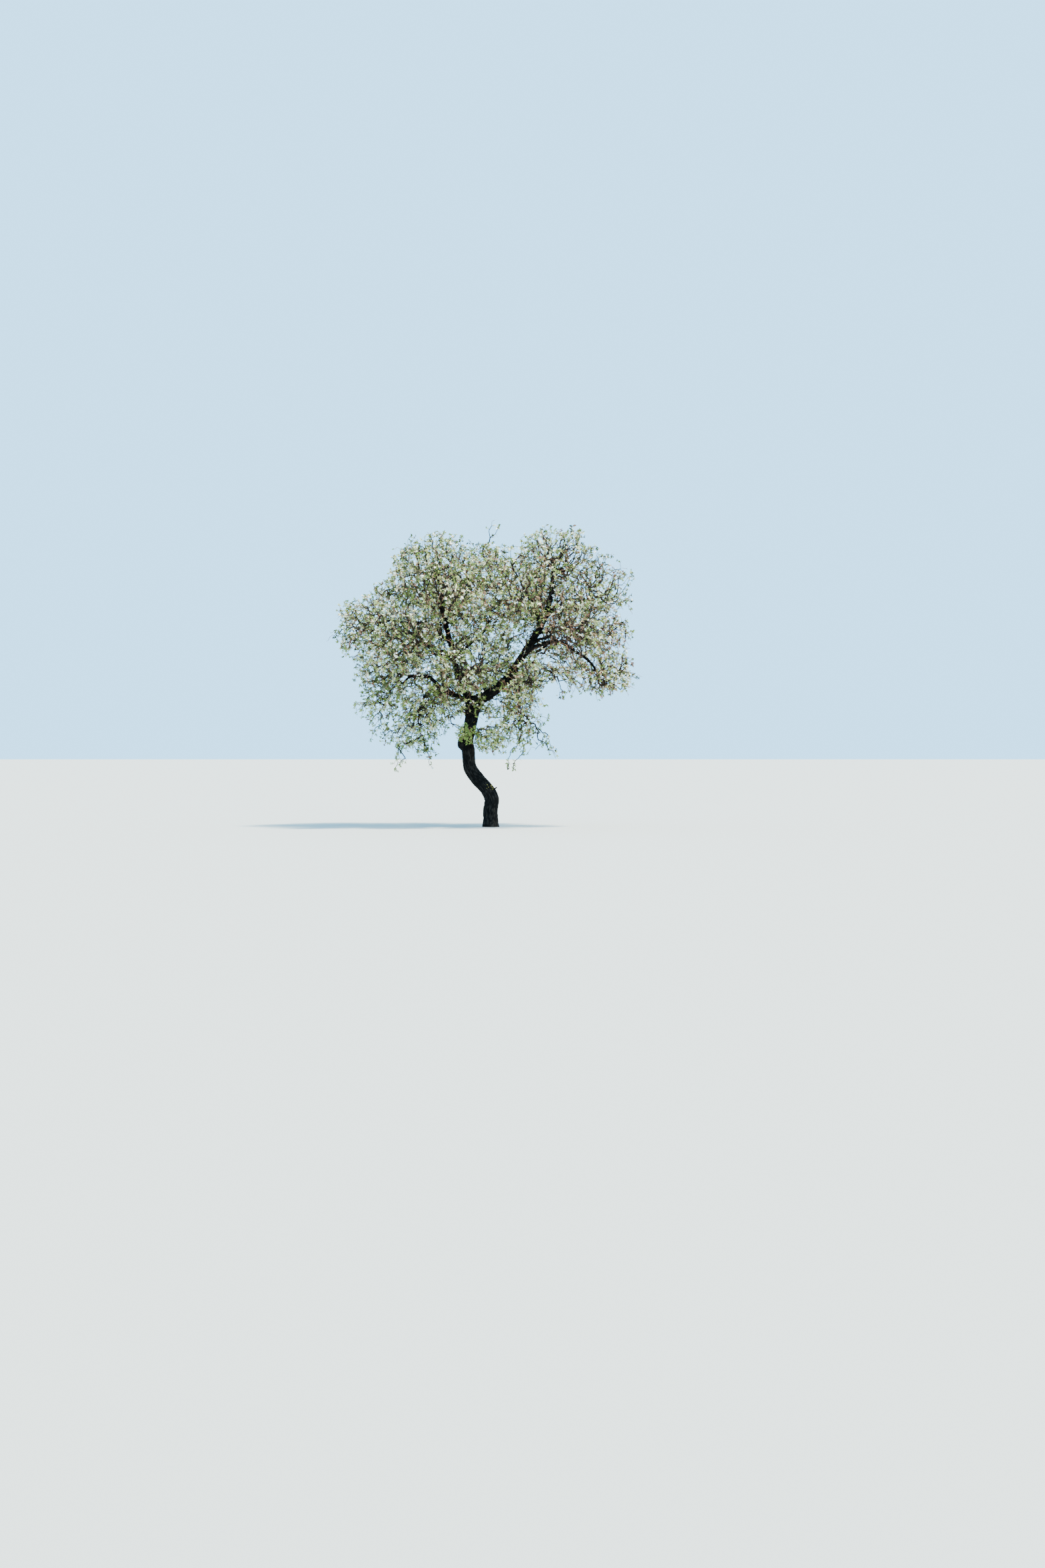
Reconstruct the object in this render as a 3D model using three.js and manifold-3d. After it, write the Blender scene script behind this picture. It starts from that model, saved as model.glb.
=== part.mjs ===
// A white cherry blossom tree that stands alone in a field, in millimetres, +Z up.
// The origin is the middle of the flat cut under the trunk, at ground level. Seen as in the
// photograph, +X is to the right and +Y is away from the viewer.
import * as THREE from "three";
import { mergeVertices } from "three/addons/utils/BufferGeometryUtils.js";
import Module from "manifold-3d";

const wasm = await Module();
wasm.setup();

// Trunk: its bends, as the places of its centre line, and how its radius runs
const trunkBends = [
  [0, 0, -90],
  [0, 0, 0],
  [-2, 4, 320],
  [18, 14, 600],
  [-72, 28, 768],
  [-252, 42, 973],
  [-405, 34, 1178],
  [-449, 10, 1420],
  [-456, -8, 1590],
  [-484, -14, 1750],
  [-442, -20, 1964],
  [-394, -10, 2203],
  [-372, -2, 2460],
  [-350, 0, 2640],
];
const trunkHeight = 2640;
const trunkFootRadius = 149;
const trunkTopRadius = 117;
const rootFlare = { out: 26, height: 120, roots: 5, share: 0.5 };
const knot = { height: 1708, length: 100, out: 66, facing: Math.PI / 2 };
const forkSwell = { height: 2490, length: 200, out: 54 };
const stub = { root: [40, -30, 745], tip: [134, -40, 818], radius: 30, tipRadius: 9 };

// Boughs: the parent that each leaves, how far along it, the point that draws its bend, its tip,
// its radius at both ends, and how far it wanders from a smooth line
const boughs = [
  ["right_leader", "trunk", 0.965, [1250, -20, 3480], [1265, 0, 5330], 108, 30, 60],
  ["left_leader", "trunk", 0.975, [-1010, 30, 3380], [-955, 20, 5130], 74, 26, 80],
  ["left_low", "trunk", 0.93, [-1010, -20, 3060], [-1800, 0, 3130], 52, 21, 70],
  ["right_arch", "right_leader", 0.46, [1640, -30, 4090], [2190, -40, 3140], 44, 20, 40],
  ["upper_right", "right_leader", 0.67, [1440, 20, 4700], [1800, 20, 4650], 34, 19, 40],
  ["right_middle", "right_leader", 0.57, [1500, 260, 4120], [1980, 190, 4010], 26, 17, 40],
  ["right_inner", "right_leader", 0.36, [1180, -40, 3420], [1330, -90, 3030], 28, 17, 40],
  ["low_right", "right_leader", 0.13, [480, 10, 2900], [600, -10, 2430], 36, 18, 40],
  ["far_left", "left_leader", 0.5, [-1450, -60, 4330], [-2170, -60, 4200], 36, 20, 60],
  ["upper_left", "left_leader", 0.72, [-1200, 60, 4660], [-1620, 110, 4880], 28, 18, 40],
  ["top_middle", "left_leader", 0.83, [-620, -10, 5010], [-330, -20, 5010], 26, 18, 30],
  ["middle", "left_leader", 0.4, [-60, 60, 3850], [60, 30, 4560], 32, 18, 60],
  ["low_left", "left_low", 0.36, [-1290, 60, 2980], [-1430, 40, 2480], 30, 18, 40],
  ["lower_left", "left_low", 0.7, [-1900, -40, 3080], [-2090, -30, 2700], 24, 16, 40],
  ["front_left", "left_leader", 0.33, [-1180, -560, 3600], [-1480, -960, 3760], 34, 19, 50],
  ["front_upper_left", "left_leader", 0.6, [-900, -520, 4450], [-1000, -960, 4640], 28, 18, 50],
  ["front_upper_right", "right_leader", 0.62, [900, -560, 4560], [720, -960, 4700], 30, 18, 50],
  ["front_right", "right_leader", 0.5, [1330, -560, 3980], [1560, -920, 3980], 30, 18, 50],
  ["front_low", "left_leader", 0.14, [-520, -620, 3080], [-560, -960, 3130], 34, 19, 50],
  ["front_low_right", "right_leader", 0.22, [620, -520, 3050], [800, -860, 2930], 30, 18, 50],
  ["back_left", "left_leader", 0.36, [-1180, 620, 3700], [-1480, 1000, 3860], 34, 19, 50],
  ["back_upper_left", "left_leader", 0.63, [-780, 560, 4480], [-780, 1000, 4620], 28, 18, 50],
  ["back_upper_right", "right_leader", 0.6, [980, 600, 4480], [780, 1000, 4680], 30, 18, 50],
  ["back_right", "right_leader", 0.43, [1300, 620, 3780], [1560, 1000, 3940], 32, 19, 50],
  ["back_low", "right_leader", 0.07, [-150, 700, 3100], [-280, 1000, 3260], 36, 20, 50],
  ["back_low_right", "right_leader", 0.27, [760, 560, 3120], [960, 900, 2960], 30, 18, 50],
  ["back_low_left", "left_low", 0.3, [-1040, 520, 2980], [-1230, 840, 2800], 28, 18, 40],
];
const collar = { share: 0.35, length: 130 };

// Masses of foliage: the limb whose tip bears each, the middle and half sizes of its space, and
// the furthest leaf tips that the photograph shows on it
const masses = [
  ["top_right", "right_leader", [1360, 0, 5430], [820, 850, 780], [[1700, -60, 6180], [1000, 60, 6080]]],
  ["top_left", "left_leader", [-1180, 40, 5300], [840, 820, 720], [[-1230, 60, 5890], [-560, -40, 5980]]],
  ["left_middle", "left_low", [-2080, 0, 3230], [700, 740, 620], [[-2640, -60, 2960], [-2640, 60, 3400]]],
  ["far_right", "right_arch", [2330, -60, 3150], [760, 740, 540], [[3060, -80, 3030], [2300, 60, 2700]]],
  ["upper_right", "upper_right", [2100, 40, 4860], [780, 820, 740], [[2810, 60, 4640], [2380, -40, 5400]]],
  ["right_middle", "right_middle", [2250, 80, 3960], [650, 780, 480], [[2840, 60, 4150]]],
  ["right_inner", "right_inner", [1520, -90, 3080], [620, 620, 560], []],
  ["low_right", "low_right", [640, 0, 2150], [600, 640, 600], [[466, -80, 1140]]],
  ["far_left", "far_left", [-2560, -80, 4060], [720, 760, 720], [[-3245, -90, 3860], [-3120, 60, 4420]]],
  ["upper_left", "upper_left", [-1900, 130, 4860], [720, 760, 740], [[-1740, 120, 5700], [-2440, 60, 4960]]],
  ["top_middle", "top_middle", [-100, -60, 5200], [680, 760, 640], [[56, -80, 6183]]],
  ["middle", "middle", [130, 30, 4260], [580, 640, 680], []],
  ["low_left", "low_left", [-1580, 40, 2100], [660, 700, 600], [[-1190, 20, 1190], [-1960, -60, 1140]]],
  ["lower_left", "lower_left", [-2250, -20, 2480], [520, 620, 470], [[-2690, 60, 2600]]],
];
const frontAndBackMasses = [
  ["front_left", "front_left", [-1760, -1380, 3830], [820, 760, 740], []],
  ["front_upper_left", "front_upper_left", [-1020, -1340, 4790], [800, 760, 700], []],
  ["front_upper_right", "front_upper_right", [600, -1380, 4830], [820, 760, 700], []],
  ["front_right", "front_right", [1720, -1280, 4060], [760, 700, 720], []],
  ["front_low", "front_low", [-560, -1340, 3300], [800, 760, 680], []],
  ["front_low_right", "front_low_right", [900, -1200, 2900], [680, 660, 560], []],
  ["back_left", "back_left", [-1740, 1400, 3900], [820, 780, 740], []],
  ["back_upper_left", "back_upper_left", [-800, 1420, 4760], [820, 780, 700], []],
  ["back_upper_right", "back_upper_right", [760, 1420, 4800], [820, 780, 700], []],
  ["back_right", "back_right", [1730, 1380, 4020], [780, 740, 720], []],
  ["back_low", "back_low", [-240, 1400, 3420], [800, 780, 700], []],
  ["back_low_right", "back_low_right", [1060, 1240, 2960], [700, 680, 560], []],
  ["back_low_left", "back_low_left", [-1330, 1130, 2600], [700, 680, 620], []],
];
// Small growths straight off the trunk: height, the side that they face, middle and half sizes
const trunkGrowths = [
  ["trunk_branch", 1950, [1, -0.2, 0.05], [30, -60, 1800], [460, 380, 330]],
  ["trunk_sprout", 1880, [-0.25, -1, 0.25], [-500, -330, 1890], [240, 210, 190]],
];
// How far the crown reaches: left, near, low, and right, far, high
const crownReach = [[-3250, -2300, 1130], [3071, 2300, 6185]];

const gap = 0.35; // between one solid and the next
const weldDistance = 0.01;
const trunkDome = { from: 0.955, least: 0.12 }; // where the trunk's top starts to round off
const boughTaper = 0.85;
const sides = { trunk: 14, bough: 6, twig: 3 };
const ringLength = { trunk: 105, bough: 390 };
const growth = {
  targets: 6.4, // for each cubic metre of space, besides the tips that the photograph shows
  step: 320, // the length of a shoot's straight stretches, about
  bow: 0.12, // how far a shoot arches, as a share of its length
  wander: 0.1, // how far a stretch's end strays, as a share of the step
  stem: 190,
  size: 1, // of its sprays
};
const trunkGrowth = { targets: 35, step: 150, bow: 0.12, wander: 0.12, stem: 110, size: 0.6 };
const frontAndBackTargets = 4.3;
const leafReach = 1.25; // of a mass's half sizes, apart from its furthest tips
const innerShare = 0.78; // of a mass's half sizes: its targets lie within, as leaves reach further
const trunkGrowthStem = 12;
const trunkGrowthRoot = 40; // how deep a trunk growth starts before it is cut to the bark
const turnCost = 0.45; // how much a shoot would rather leave its parent at a narrow angle
const spray = {
  length: 400,
  width: 245,
  fold: 14,
  widest: 0.45, // of its length, where it is widest
  droop: 0.15,
  vary: 0.4,
  sizes: [1, 0.75, 0.5], // shares of its size that are tried, until one fits
};
const twigProbes = [0.25, 0.5, 0.75, 1]; // where a new stretch of twig is probed
// Where a spray is probed: how far along it, and how far out, as shares
const sprayProbes = [[0.2, 0.4], [spray.widest, 0.5], [spray.widest, 1], [0.75, 0.45], [1, 0]];
const blossom = { radius: 40, seat: 0.5, share: 0.06 }; // seat: how far off the twig, in radii
const stemShare = 0.9; // of the bough tip's radius, for a mass's stem
const twigTipRadius = 5.5;
const twigThicken = 0.42; // how a twig's radius grows with the shoots that it bears
const sideShootShare = 0.8; // of its parent's radius, at the most, where a side shoot starts
const cellMargin = 0.035; // of a mass's size, kept clear to the next mass
const limbPlaceStep = 22;
const roomToWood = { twig: 26, leaf: 34, target: 44, blossom: 60 }; // how far each keeps from a limb's bark
const targetTries = 24;
const spaceSamples = 300;
const archLean = 0.6; // how far a shoot's arch leans off upright
const archSkew = 0.4; // how much it leans to the shoot's start
const firstSeed = 501;

// The height and the width of a three-sided section, in radii
const triangleHeight = 1.5;
const triangleWidth = Math.sqrt(3);

const up = new THREE.Vector3(0, 0, 1);
const right = new THREE.Vector3(1, 0, 0);
const point = (p) => new THREE.Vector3(...p);

// A repeatable run of numbers from 0 to 1
function seededRandom(seed) {
  let state = seed | 0;
  return () => {
    state = (state + 0x6d2b79f5) | 0;
    let t = Math.imul(state ^ (state >>> 15), 1 | state);
    t = (t + Math.imul(t ^ (t >>> 7), 61 | t)) ^ t;
    return ((t ^ (t >>> 14)) >>> 0) / 4294967296;
  };
}

function solidFrom(geometry, tolerance = 1e-3) {
  geometry.deleteAttribute("normal");
  geometry.deleteAttribute("uv");
  const merged = mergeVertices(geometry, tolerance);
  return new wasm.Manifold(
    new wasm.Mesh({
      numProp: 3,
      vertProperties: merged.attributes.position.array,
      triVerts: new Uint32Array(merged.index.array),
    }),
  );
}

function geometryFrom(solid) {
  const mesh = solid.getMesh();
  return new THREE.BufferGeometry()
    .setAttribute("position", new THREE.BufferAttribute(mesh.vertProperties, 3))
    .setIndex(new THREE.BufferAttribute(mesh.triVerts, 1));
}

// The largest piece of a solid, with corners that nearly meet made one: cuts can leave a scrap,
// and fusing can seal a hollow. The second weld is half a step along, for pairs that the first
// one's grid parts.
function mainBody(solid) {
  const half = weldDistance / 2;
  const once = geometryFrom(solidFrom(geometryFrom(solid), weldDistance));
  const twice = solidFrom(once.translate(half, half, half), weldDistance);
  const bodies = twice.translate([-half, -half, -half]).decompose();
  return bodies.filter((body) => body.volume() > 0).sort((a, b) => b.volume() - a.volume())[0];
}

// Whether every edge still joins just two faces once corners are rounded to a micron
function edgesMeetInPairs(solid) {
  const { vertProperties, triVerts } = solid.getMesh();
  const corner = (i) => [0, 1, 2].map((k) => vertProperties[triVerts[i] * 3 + k].toFixed(3)).join();
  const uses = new Map();
  for (let i = 0; i < triVerts.length; i++) {
    const next = i % 3 === 2 ? i - 2 : i + 1;
    const edge = [corner(i), corner(next)].sort().join(" ");
    uses.set(edge, (uses.get(edge) ?? 0) + 1);
  }
  return [...uses.values()].every((count) => count === 2);
}

// A closed cylinder bent along a curve. halfSizesAt(share along, angle) gives the two half sizes
// of its section, and its two ends are pushed out by endReach. An end of no size is a point.
function bentCylinder(curve, halfSizesAt, sideCount, rings, endReach = 0) {
  const geometry = new THREE.CylinderGeometry(1, 1, 1, sideCount, rings);
  const frames = curve.computeFrenetFrames(rings);
  const places = geometry.attributes.position;
  const vertex = new THREE.Vector3();
  for (let i = 0; i < places.count; i++) {
    vertex.fromBufferAttribute(places, i);
    const along = vertex.y + 0.5;
    const ring = Math.round(along * rings);
    const [over, across] = halfSizesAt(along, Math.atan2(vertex.z, vertex.x));
    const place = curve
      .getPointAt(along)
      .addScaledVector(frames.normals[ring], vertex.x * over)
      .addScaledVector(frames.binormals[ring], -vertex.z * across);
    if (ring === 0) place.addScaledVector(frames.tangents[ring], -endReach);
    if (ring === rings) place.addScaledVector(frames.tangents[ring], endReach);
    places.setXYZ(i, place.x, place.y, place.z);
  }
  return geometry;
}

const bump = (value, middle, width) => Math.exp(-(((value - middle) / width) ** 2));

function trunkRadius(height, angle) {
  const taper = THREE.MathUtils.lerp(trunkFootRadius, trunkTopRadius, height / trunkHeight);
  const root = 1 + rootFlare.share * Math.cos(rootFlare.roots * angle + 1);
  const flare = rootFlare.out * root * Math.exp(-Math.max(height, 0) / rootFlare.height);
  const fork = forkSwell.out * bump(height, forkSwell.height, forkSwell.length);
  const facing = Math.max(0, Math.cos(angle - knot.facing));
  return taper + flare + fork + knot.out * facing ** 2 * bump(height, knot.height, knot.length);
}

function placeAtHeight(curve, height) {
  let low = 0;
  let high = 1;
  for (let i = 0; i < 20; i++) {
    const middle = (low + high) / 2;
    if (curve.getPointAt(middle).z < height) low = middle;
    else high = middle;
  }
  return curve.getPointAt(low);
}

// A bough's line: a bend drawn by one point, and a seeded wander across it
function boughCurve(start, bend, tip, wander, seed) {
  const smooth = new THREE.QuadraticBezierCurve3(start, bend, tip);
  const random = seededRandom(seed);
  const phases = [random(), random(), random(), random()].map((r) => r * Math.PI * 2);
  const steps = 9;
  const places = [];
  for (let i = 0; i <= steps; i++) {
    const share = i / steps;
    const fade = wander * Math.sin(Math.PI * share) ** 0.7;
    const place = smooth.getPointAt(share);
    place.x += fade * Math.sin(7.5 * share + phases[0]) * 0.7;
    place.y += fade * Math.sin(8.5 * share + phases[1]);
    place.z += fade * Math.sin(10 * share + phases[2]) * 0.8;
    places.push(place);
  }
  return new THREE.CatmullRomCurve3(places);
}

// Every limb: its line, its radius along it, and its two solids, true and grown by the gap
function makeLimbs() {
  const limbs = new Map();
  const trunkCurve = new THREE.CatmullRomCurve3(trunkBends.map(point));
  const trunkLength = trunkCurve.getLength();
  const heights = (along) => trunkCurve.getPointAt(along).z;
  const domed = (along) => {
    const over = Math.max(0, along - trunkDome.from) / (1 - trunkDome.from);
    return Math.sqrt(Math.max(trunkDome.least, 1 - over ** 2));
  };
  limbs.set("trunk", {
    curve: trunkCurve,
    length: trunkLength,
    radiusAt: (along, angle = Math.PI / 2) => trunkRadius(heights(along), angle) * domed(along),
    sideCount: sides.trunk,
    rings: Math.round(trunkLength / ringLength.trunk),
  });
  boughs.forEach(([name, parent, share, bend, tip, radius, tipRadius, wander], index) => {
    const start = limbs.get(parent).curve.getPointAt(share);
    const curve = boughCurve(start, point(bend), point(tip), wander, 101 + index);
    const length = curve.getLength();
    const flare = (along) => collar.share * radius * Math.exp((-along * length) / collar.length);
    limbs.set(name, {
      curve,
      length,
      radiusAt: (along) => tipRadius + (radius - tipRadius) * (1 - along) ** boughTaper + flare(along),
      sideCount: sides.bough,
      rings: Math.max(5, Math.round(length / ringLength.bough)),
    });
  });
  return limbs;
}

function limbSolid(limb, extra) {
  const halfSizesAt = (along, angle) => Array(2).fill(limb.radiusAt(along, angle) + extra);
  return solidFrom(bentCylinder(limb.curve, halfSizesAt, limb.sideCount, limb.rings, extra));
}

// The broken stub on the right of the trunk's lower bend
function stubSolid() {
  const line = new THREE.LineCurve3(point(stub.root), point(stub.tip));
  const halfSizesAt = (along) => Array(2).fill(THREE.MathUtils.lerp(stub.radius, stub.tipRadius, along));
  return solidFrom(bentCylinder(line, halfSizesAt, sides.bough, 2));
}

// Places along every limb with its radius there, to keep foliage clear of wood
function limbPlaces(limbs) {
  const places = [];
  for (const limb of limbs.values()) {
    const count = Math.ceil(limb.length / limbPlaceStep);
    for (let i = 0; i <= count; i++) {
      const along = i / count;
      places.push({ at: limb.curve.getPointAt(along), radius: limb.radiusAt(along) });
    }
  }
  return places;
}

function spaceOf([name, limb, middle, half, tips], rule) {
  return { name, limb, middle: point(middle), half: point(half), tips: tips.map(point), rule };
}

function trunkSpaceOf([name, height, facing, middle, half]) {
  const space = spaceOf([name, null, middle, half, []], trunkGrowth);
  return { ...space, height, facing: point(facing).normalize() };
}

const spaces = [
  ...masses.map((row) => spaceOf(row, growth)),
  ...frontAndBackMasses.map((row) => spaceOf(row, { ...growth, targets: frontAndBackTargets })),
  ...trunkGrowths.map(trunkSpaceOf),
];
const crownBox = new THREE.Box3(...crownReach.map(point));

const awayFrom = (space, p) => p.clone().sub(space.middle).divide(space.half).length();

// Whether a place is in a mass's own space: nearer to its middle, for its size, than to any other's
function inOwnSpace(space, p) {
  const own = awayFrom(space, p) + cellMargin;
  return spaces.every((other) => other === space || awayFrom(other, p) > own);
}

function clearOfLimbs(p, room, places) {
  return places.every((limb) => limb.at.distanceTo(p) > limb.radius + room);
}

// Whether a place of a leaf or a blossom keeps to its mass's space and clear of wood
function leafFits(space, p, places, room = roomToWood.leaf) {
  const inReach =
    awayFrom(space, p) < leafReach || space.tips.some((tip) => tip.distanceTo(p) < spray.length);
  const inCrown = inReach && crownBox.containsPoint(p) && inOwnSpace(space, p);
  return inCrown && clearOfLimbs(p, room, places);
}

function randomDirection(random) {
  const level = random() * Math.PI * 2;
  const rise = random() * 2 - 1;
  const across = Math.sqrt(1 - rise ** 2);
  return new THREE.Vector3(across * Math.cos(level), across * Math.sin(level), rise);
}

function randomPlace(space, random) {
  const place = randomDirection(random).multiplyScalar(Math.cbrt(random()) * innerShare);
  return place.multiply(space.half).add(space.middle);
}

// Targets spread through a mass's space, as many as its own part of it holds: each is the best
// of several tries, so that they stand apart
function scatterTargets(space, rule, random, places) {
  const targets = space.tips.map((tip) => {
    const line = tip.clone().sub(space.middle);
    return line.setLength(line.length() - spray.length * rule.size).add(space.middle);
  });
  const suits = (p) => inOwnSpace(space, p) && clearOfLimbs(p, roomToWood.target, places);
  const newPlace = () => randomPlace(space, random);
  const somePlaces = (count) => Array.from({ length: count }, newPlace).filter(suits);
  const own = somePlaces(spaceSamples).length / spaceSamples;
  const cubicMetres = (4 / 3) * Math.PI * own * space.half.x * space.half.y * space.half.z * 1e-9;
  for (let n = 0; n < rule.targets * cubicMetres - space.tips.length / 2; n++) {
    let best = null;
    for (const p of somePlaces(targetTries)) {
      const apart = Math.min(...targets.map((target) => target.distanceTo(p)));
      if (!best || apart > best.apart) best = { p, apart };
    }
    if (best) targets.push(best.p);
  }
  return targets;
}

// The rule of growth: the targets are taken from the nearest to the furthest, and each gets a
// shoot from the node that it is easiest to reach from, near it and not far off its own way
function growTwigs(space, start, heading, rule, random, places) {
  const nodes = [{ at: start, before: -1, way: heading }];
  nodes.push({ at: start.clone().addScaledVector(heading, rule.stem), before: 0, way: heading });
  const targets = scatterTargets(space, rule, random, places);
  targets.sort((a, b) => a.distanceTo(start) - b.distanceTo(start));
  const ends = new Set();
  for (const target of targets) {
    const cost = nodes.map((node, i) => {
      const way = target.clone().sub(node.at);
      const length = way.length();
      const free = i > 0 && !ends.has(i);
      return free ? length - turnCost * way.dot(node.way) : Infinity;
    });
    const from = cost.indexOf(Math.min(...cost));
    const line = target.clone().sub(nodes[from].at);
    const length = line.length();
    const steps = Math.max(1, Math.round(length / rule.step));
    const arch = up.clone().addScaledVector(randomDirection(random), archLean);
    arch.multiplyScalar(length * rule.bow);
    let last = from;
    for (let k = 1; k <= steps; k++) {
      const share = k / steps;
      const at = nodes[from].at.clone().addScaledVector(line, share);
      at.addScaledVector(arch, Math.sin(Math.PI * share) + archSkew * Math.sin(Math.PI * 2 * share));
      if (k < steps) at.addScaledVector(randomDirection(random), rule.wander * rule.step);
      const open = twigProbes.every((far) => {
        const p = nodes[last].at.clone().lerp(at, far);
        return inOwnSpace(space, p) && clearOfLimbs(p, roomToWood.twig, places);
      });
      if (!open) break;
      nodes.push({ at, before: last, way: at.clone().sub(nodes[last].at).normalize() });
      last = nodes.length - 1;
    }
    if (last !== from) ends.add(last);
  }
  return nodes;
}

// Splits the grown tree into runs: each follows the child that bears most, and a side shoot
// starts a run of its own at its parent's node
function twigRuns(nodes) {
  const bears = nodes.map(() => 1);
  for (let i = nodes.length - 1; i > 0; i--) bears[nodes[i].before] += bears[i];
  const runs = [];
  const follow = (first, from) => {
    const run = from < 0 ? [first] : [from, first];
    for (let at = first; ; ) {
      const children = nodes.map((n, i) => (n.before === at ? i : -1)).filter((i) => i >= 0);
      if (!children.length) break;
      children.sort((a, b) => bears[b] - bears[a]);
      children.slice(1).forEach((child) => follow(child, at));
      at = children[0];
      run.push(at);
    }
    runs.push(run);
  };
  follow(0, -1);
  return { runs, bears };
}

// A smooth curve that is stepped from point to point, whatever the lengths between them
class SteppedCurve extends THREE.CatmullRomCurve3 {
  getPointAt(share) {
    return this.getPoint(share);
  }
  getTangentAt(share) {
    return this.getTangent(share);
  }
}

// The largest size, of a few, at which a spray fits, or 0. Its roll isn't known here, so it is
// probed all round
function sprayRoom(space, at, way, length, size, places) {
  const side = way.clone().cross(Math.abs(way.z) > 0.9 ? right : up).normalize();
  const turn = new THREE.Quaternion().setFromAxisAngle(way, Math.PI / 4);
  const fits = (share) =>
    sprayProbes.every(([along, out]) => {
      const middle = at.clone().addScaledVector(way, length * share * along);
      const reach = (spray.width * size * share * out) / triangleHeight;
      for (let k = 0; k < 8; k++) {
        side.applyQuaternion(turn);
        if (!leafFits(space, middle.clone().addScaledVector(side, reach), places)) return false;
      }
      return true;
    });
  return spray.sizes.find(fits) ?? 0;
}

// The rings of one run of twig with its leaves. Between two nodes, and past the last one, the
// run widens to a flat section, which stands for a spray of leaves on both sides of the twig
function twigRings(run, nodes, radii, space, random, places) {
  const { rule } = space;
  const rings = [];
  const leafyRing = (at, size) => {
    const wide = spray.width * size;
    const thin = spray.fold * size;
    rings.push({ at, over: random() < 0.5 ? [thin, wide] : [wide, thin] });
  };
  run.forEach((i, k) => {
    const { at } = nodes[i];
    const radius = k === 0 && i > 0 ? Math.min(radii[run[1]], radii[i] * sideShootShare) : radii[i];
    if (k > 0 && i > 1) {
      const from = nodes[run[k - 1]].at.clone();
      const way = at.clone().sub(from);
      const length = way.length();
      const size = rule.size * (1 + spray.vary * (random() - 0.5));
      from.addScaledVector(randomDirection(random), rule.step * rule.wander);
      const room = sprayRoom(space, from, way.normalize(), length, size, places);
      if (room > 0) leafyRing(from.addScaledVector(way, length * spray.widest), size * room);
    }
    rings.push({ at, radius });
  });
  const { at, way } = nodes[run[run.length - 1]];
  const heading = way.clone().addScaledVector(up, -spray.droop).normalize();
  const size = rule.size * (1 + spray.vary * (random() - 0.5));
  const room = sprayRoom(space, at, heading, spray.length * size, size, places);
  const length = spray.length * size * room;
  if (room > 0) leafyRing(at.clone().addScaledVector(heading, length * spray.widest), size * room);
  if (room > 0) rings.push({ at: at.clone().addScaledVector(heading, length), radius: 0 });
  else rings[rings.length - 1].radius = 0;
  return rings;
}

// One run of twig as a solid
function twigSolid(rings) {
  const last = rings.length - 1;
  const halfSizesAt = (along) => {
    const { radius, over } = rings[Math.round(along * last)];
    return over ? [over[0] / triangleHeight, over[1] / triangleWidth] : [radius, radius];
  };
  const curve = new SteppedCurve(rings.map((ring) => ring.at));
  return solidFrom(bentCylinder(curve, halfSizesAt, sides.twig, last));
}

// A cluster of blossom as one small faceted ball, seated on the side of its twig
function blossomGeometry(seat, turn) {
  const geometry = new THREE.OctahedronGeometry(blossom.radius).rotateX(turn).rotateY(turn * 2);
  return geometry.translate(seat.x, seat.y, seat.z);
}

// The twigs, sprays and blossom of one mass, fused
function foliageSolid(space, start, heading, stemRadius, places, seed) {
  const random = seededRandom(seed);
  const { rule } = space;
  const nodes = growTwigs(space, start, heading, rule, random, places);
  const { runs, bears } = twigRuns(nodes);
  const radii = bears.map((count, i) =>
    Math.min(twigTipRadius * count ** twigThicken, i < 2 ? stemRadius : Infinity),
  );
  const pieces = runs.map((run) => twigSolid(twigRings(run, nodes, radii, space, random, places)));
  for (const { at, way } of nodes.slice(2)) {
    const side = way.clone().cross(randomDirection(random)).normalize();
    const seat = at.clone().addScaledVector(side, blossom.radius * blossom.seat);
    const wanted = random() < blossom.share && leafFits(space, seat, places, roomToWood.blossom);
    if (wanted) pieces.push(solidFrom(blossomGeometry(seat, random() * Math.PI)));
  }
  return wasm.Manifold.union(pieces);
}

const bark = new THREE.MeshStandardMaterial({ color: 0x2b2622, roughness: 0.95 });
const leafColours = [0x8b9a63, 0x7d8f58, 0x98a374];

const tree = new THREE.Group();

function addPiece(name, solid, material) {
  const mesh = new THREE.Mesh(geometryFrom(solid), material);
  mesh.name = name;
  tree.add(mesh);
}

const limbs = makeLimbs();
const grownLimbs = [];
const made = [];
for (const [name, limb] of limbs) {
  let solid = limbSolid(limb, 0);
  if (name === "trunk") solid = solid.add(stubSolid()).trimByPlane([0, 0, 1], 0);
  for (const other of grownLimbs) solid = solid.subtract(other);
  grownLimbs.push(limbSolid(limb, gap));
  made.push(mainBody(solid));
  addPiece(name === "trunk" ? name : "bough_" + name, made.at(-1), bark);
}

const places = limbPlaces(limbs);
function foliageOf(space, seed) {
  if (space.limb) {
    const limb = limbs.get(space.limb);
    const heading = limb.curve.getTangentAt(1);
    const start = limb.curve.getPointAt(1).addScaledVector(heading, gap);
    return mainBody(foliageSolid(space, start, heading, limb.radiusAt(1) * stemShare, places, seed));
  }
  const start = placeAtHeight(limbs.get("trunk").curve, space.height);
  start.addScaledVector(space.facing, trunkRadius(space.height, 0) - trunkGrowthRoot);
  const rooted = foliageSolid(space, start, space.facing, trunkGrowthStem, places, seed);
  return mainBody(rooted.subtract(grownLimbs[0]));
}

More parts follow.
